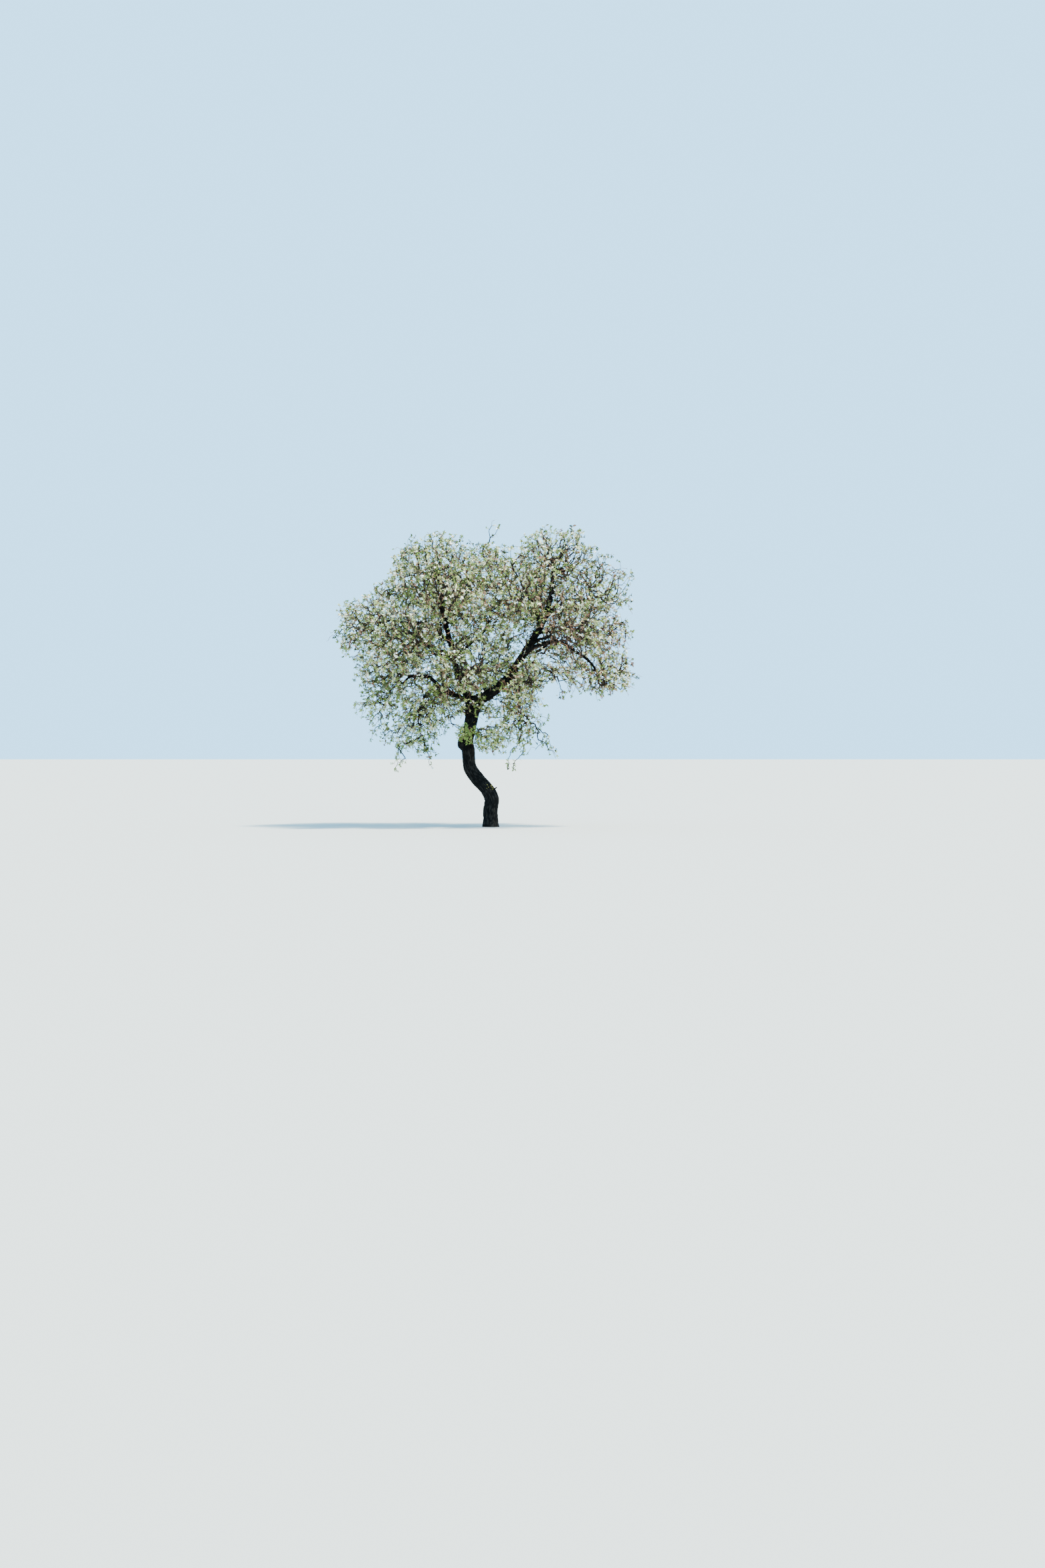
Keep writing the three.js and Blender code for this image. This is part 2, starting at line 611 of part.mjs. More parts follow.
// Where twigs happen to touch edge to edge, or a spray meets another solid, the mass is grown
// again from another seed
const suits = (solid) =>
  edgesMeetInPairs(solid) && made.every((other) => solid.intersect(other).isEmpty());
spaces.forEach((space, index) => {
  const material = new THREE.MeshStandardMaterial({ color: leafColours[index % 3], roughness: 0.6 });
  let solid = foliageOf(space, firstSeed + index);
  for (let again = 1; !suits(solid); again++)
    solid = foliageOf(space, firstSeed + index + again * spaces.length);
  made.push(solid);
  addPiece("foliage_" + space.name, solid, material);
});
export default tree;
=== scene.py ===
# White cherry blossom tree: bark laid on the trunk and boughs, and a crown grown on from them
import math

import bmesh
import bpy
import numpy as np
from mathutils import Matrix, Vector, noise


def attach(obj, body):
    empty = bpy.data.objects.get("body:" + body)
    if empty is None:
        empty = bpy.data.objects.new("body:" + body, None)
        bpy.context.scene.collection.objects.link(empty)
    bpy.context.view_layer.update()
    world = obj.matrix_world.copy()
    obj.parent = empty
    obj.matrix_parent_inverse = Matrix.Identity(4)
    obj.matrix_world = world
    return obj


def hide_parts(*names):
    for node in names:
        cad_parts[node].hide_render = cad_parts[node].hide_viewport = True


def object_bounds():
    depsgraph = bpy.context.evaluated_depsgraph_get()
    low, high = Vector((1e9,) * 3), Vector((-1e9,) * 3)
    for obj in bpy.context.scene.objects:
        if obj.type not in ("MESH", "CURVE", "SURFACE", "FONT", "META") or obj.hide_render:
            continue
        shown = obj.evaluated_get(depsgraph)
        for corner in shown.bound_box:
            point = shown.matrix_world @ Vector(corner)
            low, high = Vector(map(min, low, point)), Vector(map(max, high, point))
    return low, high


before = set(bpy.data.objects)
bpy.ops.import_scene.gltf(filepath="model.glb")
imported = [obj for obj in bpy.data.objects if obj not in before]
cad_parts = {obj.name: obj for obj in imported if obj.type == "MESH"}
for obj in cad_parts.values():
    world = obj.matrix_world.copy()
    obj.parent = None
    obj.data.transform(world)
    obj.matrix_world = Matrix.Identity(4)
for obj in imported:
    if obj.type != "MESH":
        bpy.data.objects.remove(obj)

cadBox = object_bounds()
mm = 0.001
up = np.array([0.0, 0.0, 1.0])

# Trunk: its bends, radius, root flare, burl, fork and broken stub, in millimetres as in the solids
trunk = {
    "bends": [
        [0, 0, -90], [0, 0, 0], [-2, 4, 320], [18, 14, 600], [-72, 28, 768], [-252, 42, 973],
        [-405, 34, 1178], [-449, 10, 1420], [-456, -8, 1590], [-484, -14, 1750],
        [-442, -20, 1964], [-394, -10, 2203], [-372, -2, 2460], [-350, 0, 2640],
    ],
    "height": 2640,
    "footRadius": 149,
    "topRadius": 117,
    "flare": {"out": 26, "height": 120, "roots": 5, "share": 0.5, "phase": 0.571},
    "burl": {"height": 1708, "length": 100, "out": 66, "facing": math.pi},
    "fork": {"height": 2490, "length": 200, "out": 54},
    "stub": {
        "root": [40, -30, 745], "tip": [134, -40, 818], "radius": 30, "tipRadius": 9,
        "sides": 20, "rings": 24,
    },
    "domeFrom": 0.955,  # of its length; it rounds off above this
    "shownRadius": 120,  # about half its width, where it shows through the leaves
    "sides": 120,
    "rings": 240,
}

# Boughs: parent, how far along it, the point that draws the bend, the tip, both radii, wander
boughRows = [
    ["right_leader", "trunk", 0.965, [1250, -20, 3480], [1265, 0, 5330], 108, 30, 60],
    ["left_leader", "trunk", 0.975, [-1010, 30, 3380], [-955, 20, 5130], 74, 26, 80],
    ["left_low", "trunk", 0.93, [-1010, -20, 3060], [-1800, 0, 3130], 52, 21, 70],
    ["right_arch", "right_leader", 0.46, [1640, -30, 4090], [2190, -40, 3140], 44, 20, 40],
    ["upper_right", "right_leader", 0.67, [1440, 20, 4700], [1800, 20, 4650], 34, 19, 40],
    ["right_middle", "right_leader", 0.57, [1500, 260, 4120], [1980, 190, 4010], 26, 17, 40],
    ["right_inner", "right_leader", 0.36, [1180, -40, 3420], [1330, -90, 3030], 28, 17, 40],
    ["low_right", "right_leader", 0.13, [480, 10, 2900], [600, -10, 2430], 36, 18, 40],
    ["far_left", "left_leader", 0.5, [-1450, -60, 4330], [-2170, -60, 4200], 36, 20, 60],
    ["upper_left", "left_leader", 0.72, [-1200, 60, 4660], [-1620, 110, 4880], 28, 18, 40],
    ["top_middle", "left_leader", 0.83, [-620, -10, 5010], [-330, -20, 5010], 26, 18, 30],
    ["middle", "left_leader", 0.4, [-60, 60, 3850], [60, 30, 4560], 32, 18, 60],
    ["low_left", "left_low", 0.36, [-1290, 60, 2980], [-1430, 40, 2480], 30, 18, 40],
    ["lower_left", "left_low", 0.7, [-1900, -40, 3080], [-2090, -30, 2700], 24, 16, 40],
    ["front_left", "left_leader", 0.33, [-1180, -560, 3600], [-1480, -960, 3760], 34, 19, 50],
    ["front_upper_left", "left_leader", 0.6, [-900, -520, 4450], [-1000, -960, 4640], 28, 18, 50],
    ["front_upper_right", "right_leader", 0.62, [900, -560, 4560], [720, -960, 4700], 30, 18, 50],
    ["front_right", "right_leader", 0.5, [1330, -560, 3980], [1560, -920, 3980], 30, 18, 50],
    ["front_low", "left_leader", 0.14, [-520, -620, 3080], [-560, -960, 3130], 34, 19, 50],
    ["front_low_right", "right_leader", 0.22, [620, -520, 3050], [800, -860, 2930], 30, 18, 50],
    ["back_left", "left_leader", 0.36, [-1180, 620, 3700], [-1480, 1000, 3860], 34, 19, 50],
    ["back_upper_left", "left_leader", 0.63, [-780, 560, 4480], [-780, 1000, 4620], 28, 18, 50],
    ["back_upper_right", "right_leader", 0.6, [980, 600, 4480], [780, 1000, 4680], 30, 18, 50],
    ["back_right", "right_leader", 0.43, [1300, 620, 3780], [1560, 1000, 3940], 32, 19, 50],
    ["back_low", "right_leader", 0.07, [-150, 700, 3100], [-280, 1000, 3260], 36, 20, 50],
    ["back_low_right", "right_leader", 0.27, [760, 560, 3120], [960, 900, 2960], 30, 18, 50],
    ["back_low_left", "left_low", 0.3, [-1040, 520, 2980], [-1230, 840, 2800], 28, 18, 40],
]
boughs = {
    "taper": 0.85,
    "collarShare": 0.35,
    "collarLength": 130,
    "firstSeed": 101,
    "steps": 200,  # along its drawn bend
    "bends": 9,
    "waves": [(7.5, 0.7), (8.5, 1), (10, 0.8)],  # how fast and how far it wanders, each way
    "waveFade": 0.7,
    "shownShare": 0.8,  # of its foot's radius, where it shows through the leaves
    "sideLength": 11,  # of one face round a bough, about
    "ringLength": 23,
    "leastSides": 12,
}

# Masses of foliage, one on each bough in the same order: how full it is, the middle and half sizes
# of its space, and its furthest tips, with more of them in the skirt than the solids have
massRows = [
    ["top_right", 1.45, [1360, 0, 5430], [820, 850, 780], [1700, -60, 6180], [1000, 60, 6080]],
    ["top_left", 1.3, [-1180, 40, 5300], [840, 820, 720], [-1230, 60, 5890], [-560, -40, 5980]],
    ["left_middle", 1.1, [-2080, 0, 3230], [700, 740, 620], [-2640, -60, 2960], [-2640, 60, 3400]],
    ["far_right", 1.5, [2330, -60, 3150], [760, 740, 540], [3060, -80, 3030], [2300, 60, 2700]],
    ["upper_right", 1.35, [2100, 40, 4860], [780, 820, 740], [2810, 60, 4640], [2380, -40, 5400]],
    ["right_middle", 1.2, [2250, 80, 3960], [650, 780, 480], [2840, 60, 4150]],
    ["right_inner", 0.65, [1520, -90, 3080], [620, 620, 560]],
    ["low_right", 1, [640, 0, 2150], [600, 640, 600], [466, -80, 1140], [1340, -60, 1440]],
    ["far_left", 1.15, [-2560, -80, 4060], [720, 760, 720], [-3245, -90, 3860], [-3120, 60, 4420]],
    ["upper_left", 1.1, [-1900, 130, 4860], [720, 760, 740], [-1740, 120, 5700], [-2440, 60, 4960]],
    ["top_middle", 1.25, [-100, -60, 5200], [680, 760, 640], [56, -80, 6183]],
    ["middle", 0.8, [130, 30, 4260], [580, 640, 680]],
    ["low_left", 1, [-1580, 40, 2100], [660, 700, 600], [-1190, 20, 1190], [-1960, -60, 1140],
     [-1560, 60, 1440], [-1230, -40, 1390], [-1820, -60, 1660], [-1880, 40, 1260]],
    ["lower_left", 1, [-2250, -20, 2480], [520, 620, 470], [-2690, 60, 2600], [-2330, 20, 1840]],
    ["front_left", 0.85, [-1760, -1380, 3830], [820, 760, 740]],
    ["front_upper_left", 0.85, [-1020, -1340, 4790], [800, 760, 700]],
    ["front_upper_right", 1, [600, -1380, 4830], [820, 760, 700]],
    ["front_right", 1, [1720, -1280, 4060], [760, 700, 720]],
    ["front_low", 0.75, [-560, -1340, 3300], [800, 760, 680]],
    ["front_low_right", 0.8, [900, -1200, 2900], [680, 660, 560]],
    ["back_left", 1, [-1740, 1400, 3900], [820, 780, 740]],
    ["back_upper_left", 1, [-800, 1420, 4760], [820, 780, 700]],
    ["back_upper_right", 1, [760, 1420, 4800], [820, 780, 700]],
    ["back_right", 1, [1730, 1380, 4020], [780, 740, 720]],
    ["back_low", 1, [-240, 1400, 3420], [800, 780, 700]],
    ["back_low_right", 0.9, [1060, 1240, 2960], [700, 680, 560]],
    ["back_low_left", 1, [-1330, 1130, 2600], [700, 680, 620]],
]
# Where the photograph shows sky: middle across and up, reach, and the share of shoots kept there
openings = [
    [-2.85, 5.5, 0.82, 0], [-1.45, 6.38, 0.45, 0.1], [0.32, 5.98, 0.26, 0.2], [1.15, 3.1, 0.4, 0.6],
    [1.42, 2.4, 0.55, 0.15], [-1.45, 2.95, 0.35, 0.5], [-1.05, 3.6, 0.25, 0.4], [-0.3, 3.5, 0.25, 0.4],
]
# Limbs that show through the leaves in front: from and to along each, how far round, share kept
shownLimbs = {
    "right_arch": [0.05, 0.95, 0.07, 0.18], "right_leader": [0.16, 0.9, 0.03, 0.5],
    "left_leader": [0.2, 0.9, 0.03, 0.5], "left_low": [0.1, 0.8, 0.03, 0.5],
    "trunk": [0.4, 0.8, 0.03, 0.2],
}
# Small growths straight off the trunk: height, the side that they face, middle and half sizes
trunkGrowthRows = [
    ["trunk_branch", 1950, [1, -0.2, 0.05], [30, -60, 1800], [460, 380, 330]],
    ["trunk_sprout", 1880, [-0.25, -1, 0.25], [-500, -330, 1890], [240, 210, 190]],
]


# Vectors and lines

def unit(v):
    return v / np.linalg.norm(v, axis=-1, keepdims=True)


def lengthsOf(v):
    return np.linalg.norm(v, axis=-1)


def smoothLine(points, perSpan=24):  # a smooth line through the points, as many short steps
    points = np.array(points, float)
    points = np.vstack([2 * points[0] - points[1], points, 2 * points[-1] - points[-2]])
    s = np.arange(perSpan)[:, None] / perSpan
    places = []
    for p0, p1, p2, p3 in zip(points, points[1:], points[2:], points[3:]):
        d0, d1, d2 = (math.sqrt(lengthsOf(b - a)) for a, b in ((p0, p1), (p1, p2), (p2, p3)))
        t1 = ((p1 - p0) / d0 - (p2 - p0) / (d0 + d1) + (p2 - p1) / d1) * d1
        t2 = ((p2 - p1) / d1 - (p3 - p1) / (d1 + d2) + (p3 - p2) / d2) * d1
        curve = (2 * p1 - 2 * p2 + t1 + t2) * s + (3 * p2 - 3 * p1 - 2 * t1 - t2)
        places.extend((curve * s + t1) * s + p1)
    return np.array(places + [p2])


def lineLength(line):
    return lengthsOf(np.diff(line, axis=0)).sum()


def placesAlong(line, shares):  # by distance along the line
    steps = lengthsOf(np.diff(line, axis=0))
    far = np.concatenate([[0], np.cumsum(steps)])
    wanted = np.asarray(shares) * far[-1]
    return np.stack([np.interp(wanted, far, line[:, k]) for k in range(3)], axis=-1)


def headingsAlong(line, shares, step=0.004):
    shares = np.asarray(shares, float)
    before = placesAlong(line, np.clip(shares - step, 0, 1))
    after = placesAlong(line, np.clip(shares + step, 0, 1))
    return unit(after - before)


def carriedSides(headings, side):  # a direction across each heading, turned no more than it must be
    sides = []
    for heading in headings:
        side = unit(side - heading * side.dot(heading))
        sides.append(side)
    return np.array(sides)


def repeatableNumbers(seed):  # the same run of numbers as the solids take their wander from
    state = seed
    while True:
        state = (state + 0x6D2B79F5) & 0xFFFFFFFF
        t = ((state ^ (state >> 15)) * (1 | state)) & 0xFFFFFFFF
        t = ((t + (((t ^ (t >> 7)) * (61 | t)) & 0xFFFFFFFF)) & 0xFFFFFFFF) ^ t
        yield (t ^ (t >> 14)) / 4294967296


# Limbs: line in metres, and radius by share along it and angle round it

def bump(value, middle, width):
    return np.exp(-(((value - middle) / width) ** 2))


def trunkRadius(height, angle):
    flare, burl, fork = trunk["flare"], trunk["burl"], trunk["fork"]
    taper = trunk["footRadius"] + (trunk["topRadius"] - trunk["footRadius"]) * height / trunk["height"]
    root = 1 + flare["share"] * np.cos(flare["roots"] * angle + flare["phase"])
    foot = flare["out"] * root * np.exp(-np.maximum(height, 0) / flare["height"])
    facing = np.maximum(0, np.cos(angle - burl["facing"])) ** 2
    knob = burl["out"] * facing * bump(height, burl["height"], burl["length"])
    return (taper + foot + knob + fork["out"] * bump(height, fork["height"], fork["length"])) * mm


def boughLine(start, bend, tip, wander, seed):
    s = np.linspace(0, 1, boughs["steps"])[:, None]
    bent = (1 - s) ** 2 * start + 2 * s * (1 - s) * np.array(bend) + s ** 2 * np.array(tip)
    shares = np.arange(boughs["bends"] + 1) / boughs["bends"]
    places = placesAlong(bent, shares)
    numbers = repeatableNumbers(seed)
    fade = wander * np.sin(np.pi * shares) ** boughs["waveFade"]
    for axis, (turns, size) in enumerate(boughs["waves"]):
        phase = next(numbers) * math.pi * 2
        places[:, axis] += fade * np.sin(turns * shares + phase) * size
    return smoothLine(places)


def makeLimbs():
    line = smoothLine(trunk["bends"]) * mm
    limbs = {"trunk": {"line": line, "shownRadius": trunk["shownRadius"] * mm}}
    for index, (name, parent, share, bend, tip, radius, tipRadius, wander) in enumerate(boughRows):
        start = placesAlong(limbs[parent]["line"], [share])[0] / mm
        limbs[name] = {
            "line": boughLine(start, bend, tip, wander, boughs["firstSeed"] + index) * mm,
            "footRadius": radius * mm, "tipRadius": tipRadius * mm,
            "shownRadius": radius * mm * boughs["shownShare"],
        }
    return limbs


def boughRadius(limb, shares):
    far = shares * lineLength(limb["line"])
    flare = boughs["collarShare"] * limb["footRadius"] * np.exp(-far / (boughs["collarLength"] * mm))
    slim = np.maximum(1 - shares, 0) ** boughs["taper"]
    return limb["tipRadius"] + (limb["footRadius"] - limb["tipRadius"]) * slim + flare


limbs = makeLimbs()
print("limbs laid out:", len(limbs))


# Materials

def srgb(red, green, blue):  # a colour as a paint card gives it, 0 to 255
    def linear(v):
        v /= 255
        return v / 12.92 if v <= 0.04045 else ((v + 0.055) / 1.055) ** 2.4
    return (linear(red), linear(green), linear(blue), 1)


def newMaterial(name, colour, roughness, gloss=0.5):
    material = bpy.data.materials.new(name)
    material.use_nodes = True
    shader = material.node_tree.nodes["Principled BSDF"]
    feed(material.node_tree, shader, {
        "Base Color": srgb(*colour), "Roughness": roughness, "Specular IOR Level": gloss,
    })
    return material, material.node_tree, shader


def feed(tree, node, inputs):  # each input takes a value or another node's output
    for name, value in inputs.items():
        if isinstance(value, bpy.types.NodeSocket):
            tree.links.new(value, node.inputs[name])
        else:
            node.inputs[name].default_value = value


def addNode(tree, kind, output, inputs, operation=None):
    node = tree.nodes.new(kind)
    if operation:
        node.operation = operation
    feed(tree, node, inputs)
    return node.outputs[output]


def grainAt(tree, scale, detail):  # noise that stands still on its piece
    coords = addNode(tree, "ShaderNodeTexCoord", "Object", {})
    inputs = {"Vector": coords, "Scale": scale, "Detail": detail}
    return addNode(tree, "ShaderNodeTexNoise", "Fac", inputs)


def bumpOf(tree, grain, strength, depth):
    inputs = {"Height": grain, "Strength": strength, "Distance": depth}
    return addNode(tree, "ShaderNodeBump", "Normal", inputs)


grainLook = {"detail": 2, "sheen": 0.2, "strength": 0.4, "depth": 0.3}


def plainMaterial(name, colour, roughness, grain, gloss=0.3):  # one colour, with a grain to its sheen
    material, tree, shader = newMaterial(name, colour, roughness, gloss)
    speckle = grainAt(tree, grain, grainLook["detail"])
    sheen = addNode(tree, "ShaderNodeMapRange", "Result", {
        "Value": speckle, "To Min": roughness - grainLook["sheen"],
        "To Max": min(1, roughness + grainLook["sheen"]),
    })
    bumps = bumpOf(tree, speckle, grainLook["strength"], grainLook["depth"] / grain)
    feed(tree, shader, {"Roughness": sheen, "Normal": bumps})
    return material


# Bark colours, near black: the bark's own dark colour, darkened further as painted shade of the crown
# over the trunk and boughs
barkLook = {
    # darkest, in the furrows: painted shade in the bark's recesses
    "furrowShade": (3, 3, 3),
    "plate": (14, 13, 12),
    # brightest, on the plates' tops: painted highlight of light on the bark
    "paintedHighlight": (35, 32, 29),
    "stops": (0.45, 0.8, 0.9583),  # heights at which those three colours stand
    "furrowShadeWeight": 0.6,
    "roughness": 0.95,
    "gloss": 0.08,
    # noise that varies the tone at random and lifts some plate tops into the painted highlight
    "toneAndHighlightGrain": (9, 6),  # scale and detail
    "grit": (140, 4),
    "gritStrength": 0.5,
    "gritDepth": 0.004,
}
lichenLook = {
    "colour": (126, 112, 54),
    "place": (0.03, -0.06, 0.86),
    "reach": 0.2,
    "grain": (30, 5),
    "thicker": 0.06,  # added to the grain at the place, and further out
    "thinner": -0.12,
    "from": 0.58,  # grain at which a speck begins, and is full
    "to": 0.64,
}


def lichenMask(tree):  # specks round a place, sparser outwards
    look = lichenLook
    coords = addNode(tree, "ShaderNodeTexCoord", "Object", {})
    away = addNode(tree, "ShaderNodeVectorMath", "Value", {0: coords, 1: look["place"]}, "DISTANCE")
    near = addNode(tree, "ShaderNodeMapRange", "Result", {
        "Value": away, "From Max": look["reach"], "To Min": look["thicker"], "To Max": look["thinner"],
    })
    speck = addNode(tree, "ShaderNodeMath", "Value", {0: grainAt(tree, *look["grain"]), 1: near}, "ADD")
    return addNode(tree, "ShaderNodeMapRange", "Result", {
        "Value": speck, "From Min": look["from"], "From Max": look["to"],
    })


def barkMaterial(name, withLichen):
    look = barkLook
    material, tree, shader = newMaterial(name, look["plate"], look["roughness"], look["gloss"])
    furrowShade = tree.nodes.new("ShaderNodeAttribute")
    furrowShade.attribute_name = "furrowShade"
    height = addNode(tree, "ShaderNodeMath", "Value", {
        0: furrowShade.outputs["Fac"], 1: look["furrowShadeWeight"], 2: grainAt(tree, *look["toneAndHighlightGrain"]),
    }, "MULTIPLY_ADD")
    # The ramp paints shade in the furrows and a painted highlight on the plates' tops
    ramp = tree.nodes.new("ShaderNodeValToRGB")
    elements = ramp.color_ramp.elements
    for index, place in enumerate(look["stops"]):
        element = elements[index] if index < 2 else elements.new(place)
        element.position = place
        element.color = srgb(*look[("furrowShade", "plate", "paintedHighlight")[index]])
    feed(tree, ramp, {"Fac": height})
    colour = ramp.outputs["Color"]
    if withLichen:
        mix = tree.nodes.new("ShaderNodeMix")
        mix.data_type = "RGBA"
        feed(tree, mix, {"Factor": lichenMask(tree), "A": colour, "B": srgb(*lichenLook["colour"])})
        colour = mix.outputs["Result"]
    grit = bumpOf(tree, grainAt(tree, *look["grit"]), look["gritStrength"], look["gritDepth"])
    feed(tree, shader, {"Base Color": colour, "Normal": grit})
    return material


# Bark: a fine skin with furrows and plates, wrapped round each limb

relief = {
    "plateWidth": 0.02,
    "stretch": 8,  # plates are this much longer along the limb than round it
    "edge": 2.2,  # how steeply a plate rises from its furrow
    "fineScale": 3.1,
    "plateTone": 0.75,
    "fineTone": 0.25,
    "leastTone": 0.1,
    "depthShare": 0.05,  # of the limb's radius
    "depthMiddle": 0.55,
    "fineShare": 0.35,
    "knobShare": 0.09,
    "knobLength": 0.23,
    "filletShare": 1.1,  # of the thinner limb's foot, how far a fork is rounded off
    "weld": 1e-5,
}
limbShares = np.linspace(0, 1, 90)


def linked(name, data):
    item = bpy.data.objects.new(name, data)
    bpy.context.scene.collection.objects.link(item)
    return item


def pieceOf(mesh, name, material):
    mesh.materials.append(material)
    return linked(name, mesh)


def meshOf(bm, name):
    mesh = bpy.data.meshes.new(name)
    bm.to_mesh(mesh)
    bm.free()
    return mesh


def radiusAlong(name):
    limb = limbs[name]
    if name == "trunk":
        return trunkRadius(placesAlong(limb["line"], limbShares)[:, 2] / mm, 0)
    return boughRadius(limb, limbShares)


def filletAt(name, points):  # how far a limb's skin swells where it meets its parent and its children
    swell = np.zeros(len(points))
    for row in boughRows:
        child, parent = row[:2]
        if name not in (child, parent):
            continue
        other = parent if name == child else child
        places = placesAlong(limbs[other]["line"], limbShares)
        gaps = lengthsOf(points[:, None] - places) - radiusAlong(other)
        gap = gaps.min(axis=1)
        reach = relief["filletShare"] * limbs[child]["footRadius"]
        swell = np.maximum(swell, np.maximum(0, reach - np.abs(gap)) ** 2 / (4 * reach))
    return swell


# The tone sets the painted shade in the furrows and the painted highlight on the plates
def reliefAt(x, y, along):  # tone, dark in a furrow and pale on a plate, and swell of the radius
    spot = Vector((x, y, along / relief["stretch"])) / relief["plateWidth"]
    near, nextNear = noise.voronoi(spot)[0][:2]
    plate = min(1, (nextNear - near) * relief["edge"])
    fine = noise.noise(spot * relief["fineScale"])
    knob = noise.noise(Vector((x, y, along)) / relief["knobLength"])
    tone = plate * relief["plateTone"] + fine * relief["fineTone"] + relief["leastTone"]
    depth = relief["depthShare"] * (plate - relief["depthMiddle"] + relief["fineShare"] * fine)
    return tone, depth + relief["knobShare"] * knob


def barkPiece(name, limbName, node, line, radii, sideCount, material):
    ringCount = len(radii) - 1
    shares = np.linspace(0, 1, ringCount + 1)
    headings = headingsAlong(line, shares)
    over = carriedSides(headings, np.cross(headings[0], [0.0, 1.0, 0.0]))
    across = np.cross(headings, over)
    angles = np.arange(sideCount) / sideCount * math.pi * 2
    outward = np.cos(angles)[:, None] * over[:, None] + np.sin(angles)[:, None] * across[:, None]
    middles = placesAlong(line, shares)[:, None]
    radii = np.repeat(radii[:, None], sideCount, axis=1)
    if limbName == "trunk":
        radii *= trunkRadius(middles[..., 2] / mm, np.arctan2(outward[..., 1], outward[..., 0]))
    far = shares * lineLength(line)
    tones = np.zeros(radii.shape)
    for ring, side in np.ndindex(radii.shape):
        wide = max(radii[ring, side], relief["plateWidth"] / 2)
        tones[ring, side], swell = reliefAt(math.cos(angles[side]) * wide, math.sin(angles[side]) * wide,
                                            far[ring])
        radii[ring, side] *= 1 + swell
    skin = middles + outward * radii[..., None]
    fillets = filletAt(limbName, skin.reshape(-1, 3)).reshape(radii.shape)
    skin += outward * (fillets * (radii > 0))[..., None]
    bm = bmesh.new()
    bmesh.ops.create_grid(bm, x_segments=sideCount, y_segments=ringCount, size=0.5)
    furrowShade = bm.verts.layers.float.new("furrowShade")
    for vert in bm.verts:
        ring = round((vert.co.y + 0.5) * ringCount)
        side = round((vert.co.x + 0.5) * sideCount) % sideCount
        vert[furrowShade] = tones[ring, side]
        vert.co = skin[ring, side]
    bmesh.ops.remove_doubles(bm, verts=bm.verts, dist=relief["weld"])
    if limbName == "trunk":  # it stands flat on the ground
        rim = [edge for edge in bm.edges if edge.is_boundary]
        for vert in {v for edge in rim for v in edge.verts}:
            vert.co.z = 0
        bmesh.ops.holes_fill(bm, edges=rim, sides=0)
    bmesh.ops.recalc_face_normals(bm, faces=bm.faces)
    for face in bm.faces:
        face.smooth = True
    rideAndReplace(pieceOf(meshOf(bm, name), name, material), "bark", node)


def rideAndReplace(piece, slotName, *nodes):
    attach(piece, "root")
    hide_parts(*nodes)


def makeTrunkBark(material):
    line = limbs["trunk"]["line"]
    line = line[line[:, 2] >= 0]
    shares = np.linspace(0, 1, trunk["rings"] + 1)
    past = np.maximum(0, shares - trunk["domeFrom"]) / (1 - trunk["domeFrom"])
    dome = np.sqrt(np.maximum(0, 1 - past ** 2))
    barkPiece("barkTrunk", "trunk", "trunk", line, dome, trunk["sides"], material)


def makeStubBark(material):
    stub = trunk["stub"]
    line = np.array([stub["root"], stub["tip"]]) * mm
    radii = np.linspace(stub["radius"], stub["tipRadius"], stub["rings"] + 1) * mm
    radii[0] = radii[-1] = 0
    barkPiece("barkStub", "stub", "trunk", line, radii, stub["sides"], material)


def makeBoughBark(name, material):
    limb = limbs[name]
    ringCount = round(lineLength(limb["line"]) / (boughs["ringLength"] * mm))
    around = limb["footRadius"] * 2 * math.pi
    sideCount = max(boughs["leastSides"], round(around / (boughs["sideLength"] * mm)))
    radii = boughRadius(limb, np.linspace(0, 1, ringCount + 1))
    radii[0] = radii[-1] = 0
    barkPiece("bark_" + name, name, "bough_" + name, limb["line"], radii, sideCount, material)


trunkBark = barkMaterial("cherryTrunkBark", True)
boughBark = barkMaterial("cherryBoughBark", False)
makeTrunkBark(trunkBark)
makeStubBark(trunkBark)
for row in boughRows:
    makeBoughBark(row[0], boughBark)
print("bark on the trunk and boughs")


# Growth: the rule of the solids' twigs, carried to finer shoots

growth = {
    "seed": 501,
    "sideSeed": 601,
    "targets": 200,  # for each cubic metre of a mass's space
    "step": 0.06,
    "bow": 0.17,
    "wander": 0.22,
    "stem": 0.16,
    "stemShare": 0.96,  # of its bough's tip
    "turnCost": 0.45,
    "reach": 1.04,  # of a mass's half sizes
    "lumpShare": 0.5,  # hollows and humps all round a mass
    "lumpReach": 0.42,
    "lumpLimits": (-1, 0.25),
    "lumpShift": 3,  # from one mass's pattern to the next
    "sprigShare": 0.07,  # of the targets, for sprigs that stand out of the crown
    "sprigReach": 1.12,
    "cellMargin": 0.01,
    "boxMargin": 0.06,
    "tries": 5,
    "trial": 600,  # places that show how much of a mass's space is its own
    "leastShare": 0.1,
    "room": 0.02,
    "pathRoom": 0.01,
    "mostSteps": 40,  # there is room for this many for each target, about
    "tipTargets": 12,
    "tipInset": 0.03,
    "tipSpread": 0.14,
    "tipBack": 3,  # of the spread
    "tipAside": 0.6,
    "archLean": 0.7,
    "archSkew": 0.4,
    "tipRadius": 0.0044,
    "thicken": 0.48,
    "fill": 60,  # for each cubic metre between the masses, where they hide it from the front
    "fillReach": 1.7,
    "fillTrial": 4000,
    "limbFrom": 0.55,  # how far along its bough a mass's shoots may start
    "limbTo": 0.98,
    "limbSpacing": 0.05,
}
trunkGrowth = {
    **growth, "targets": 520, "step": 0.04, "stem": 0.09, "stemFrom": 0.1, "stemRadius": 0.012,
}
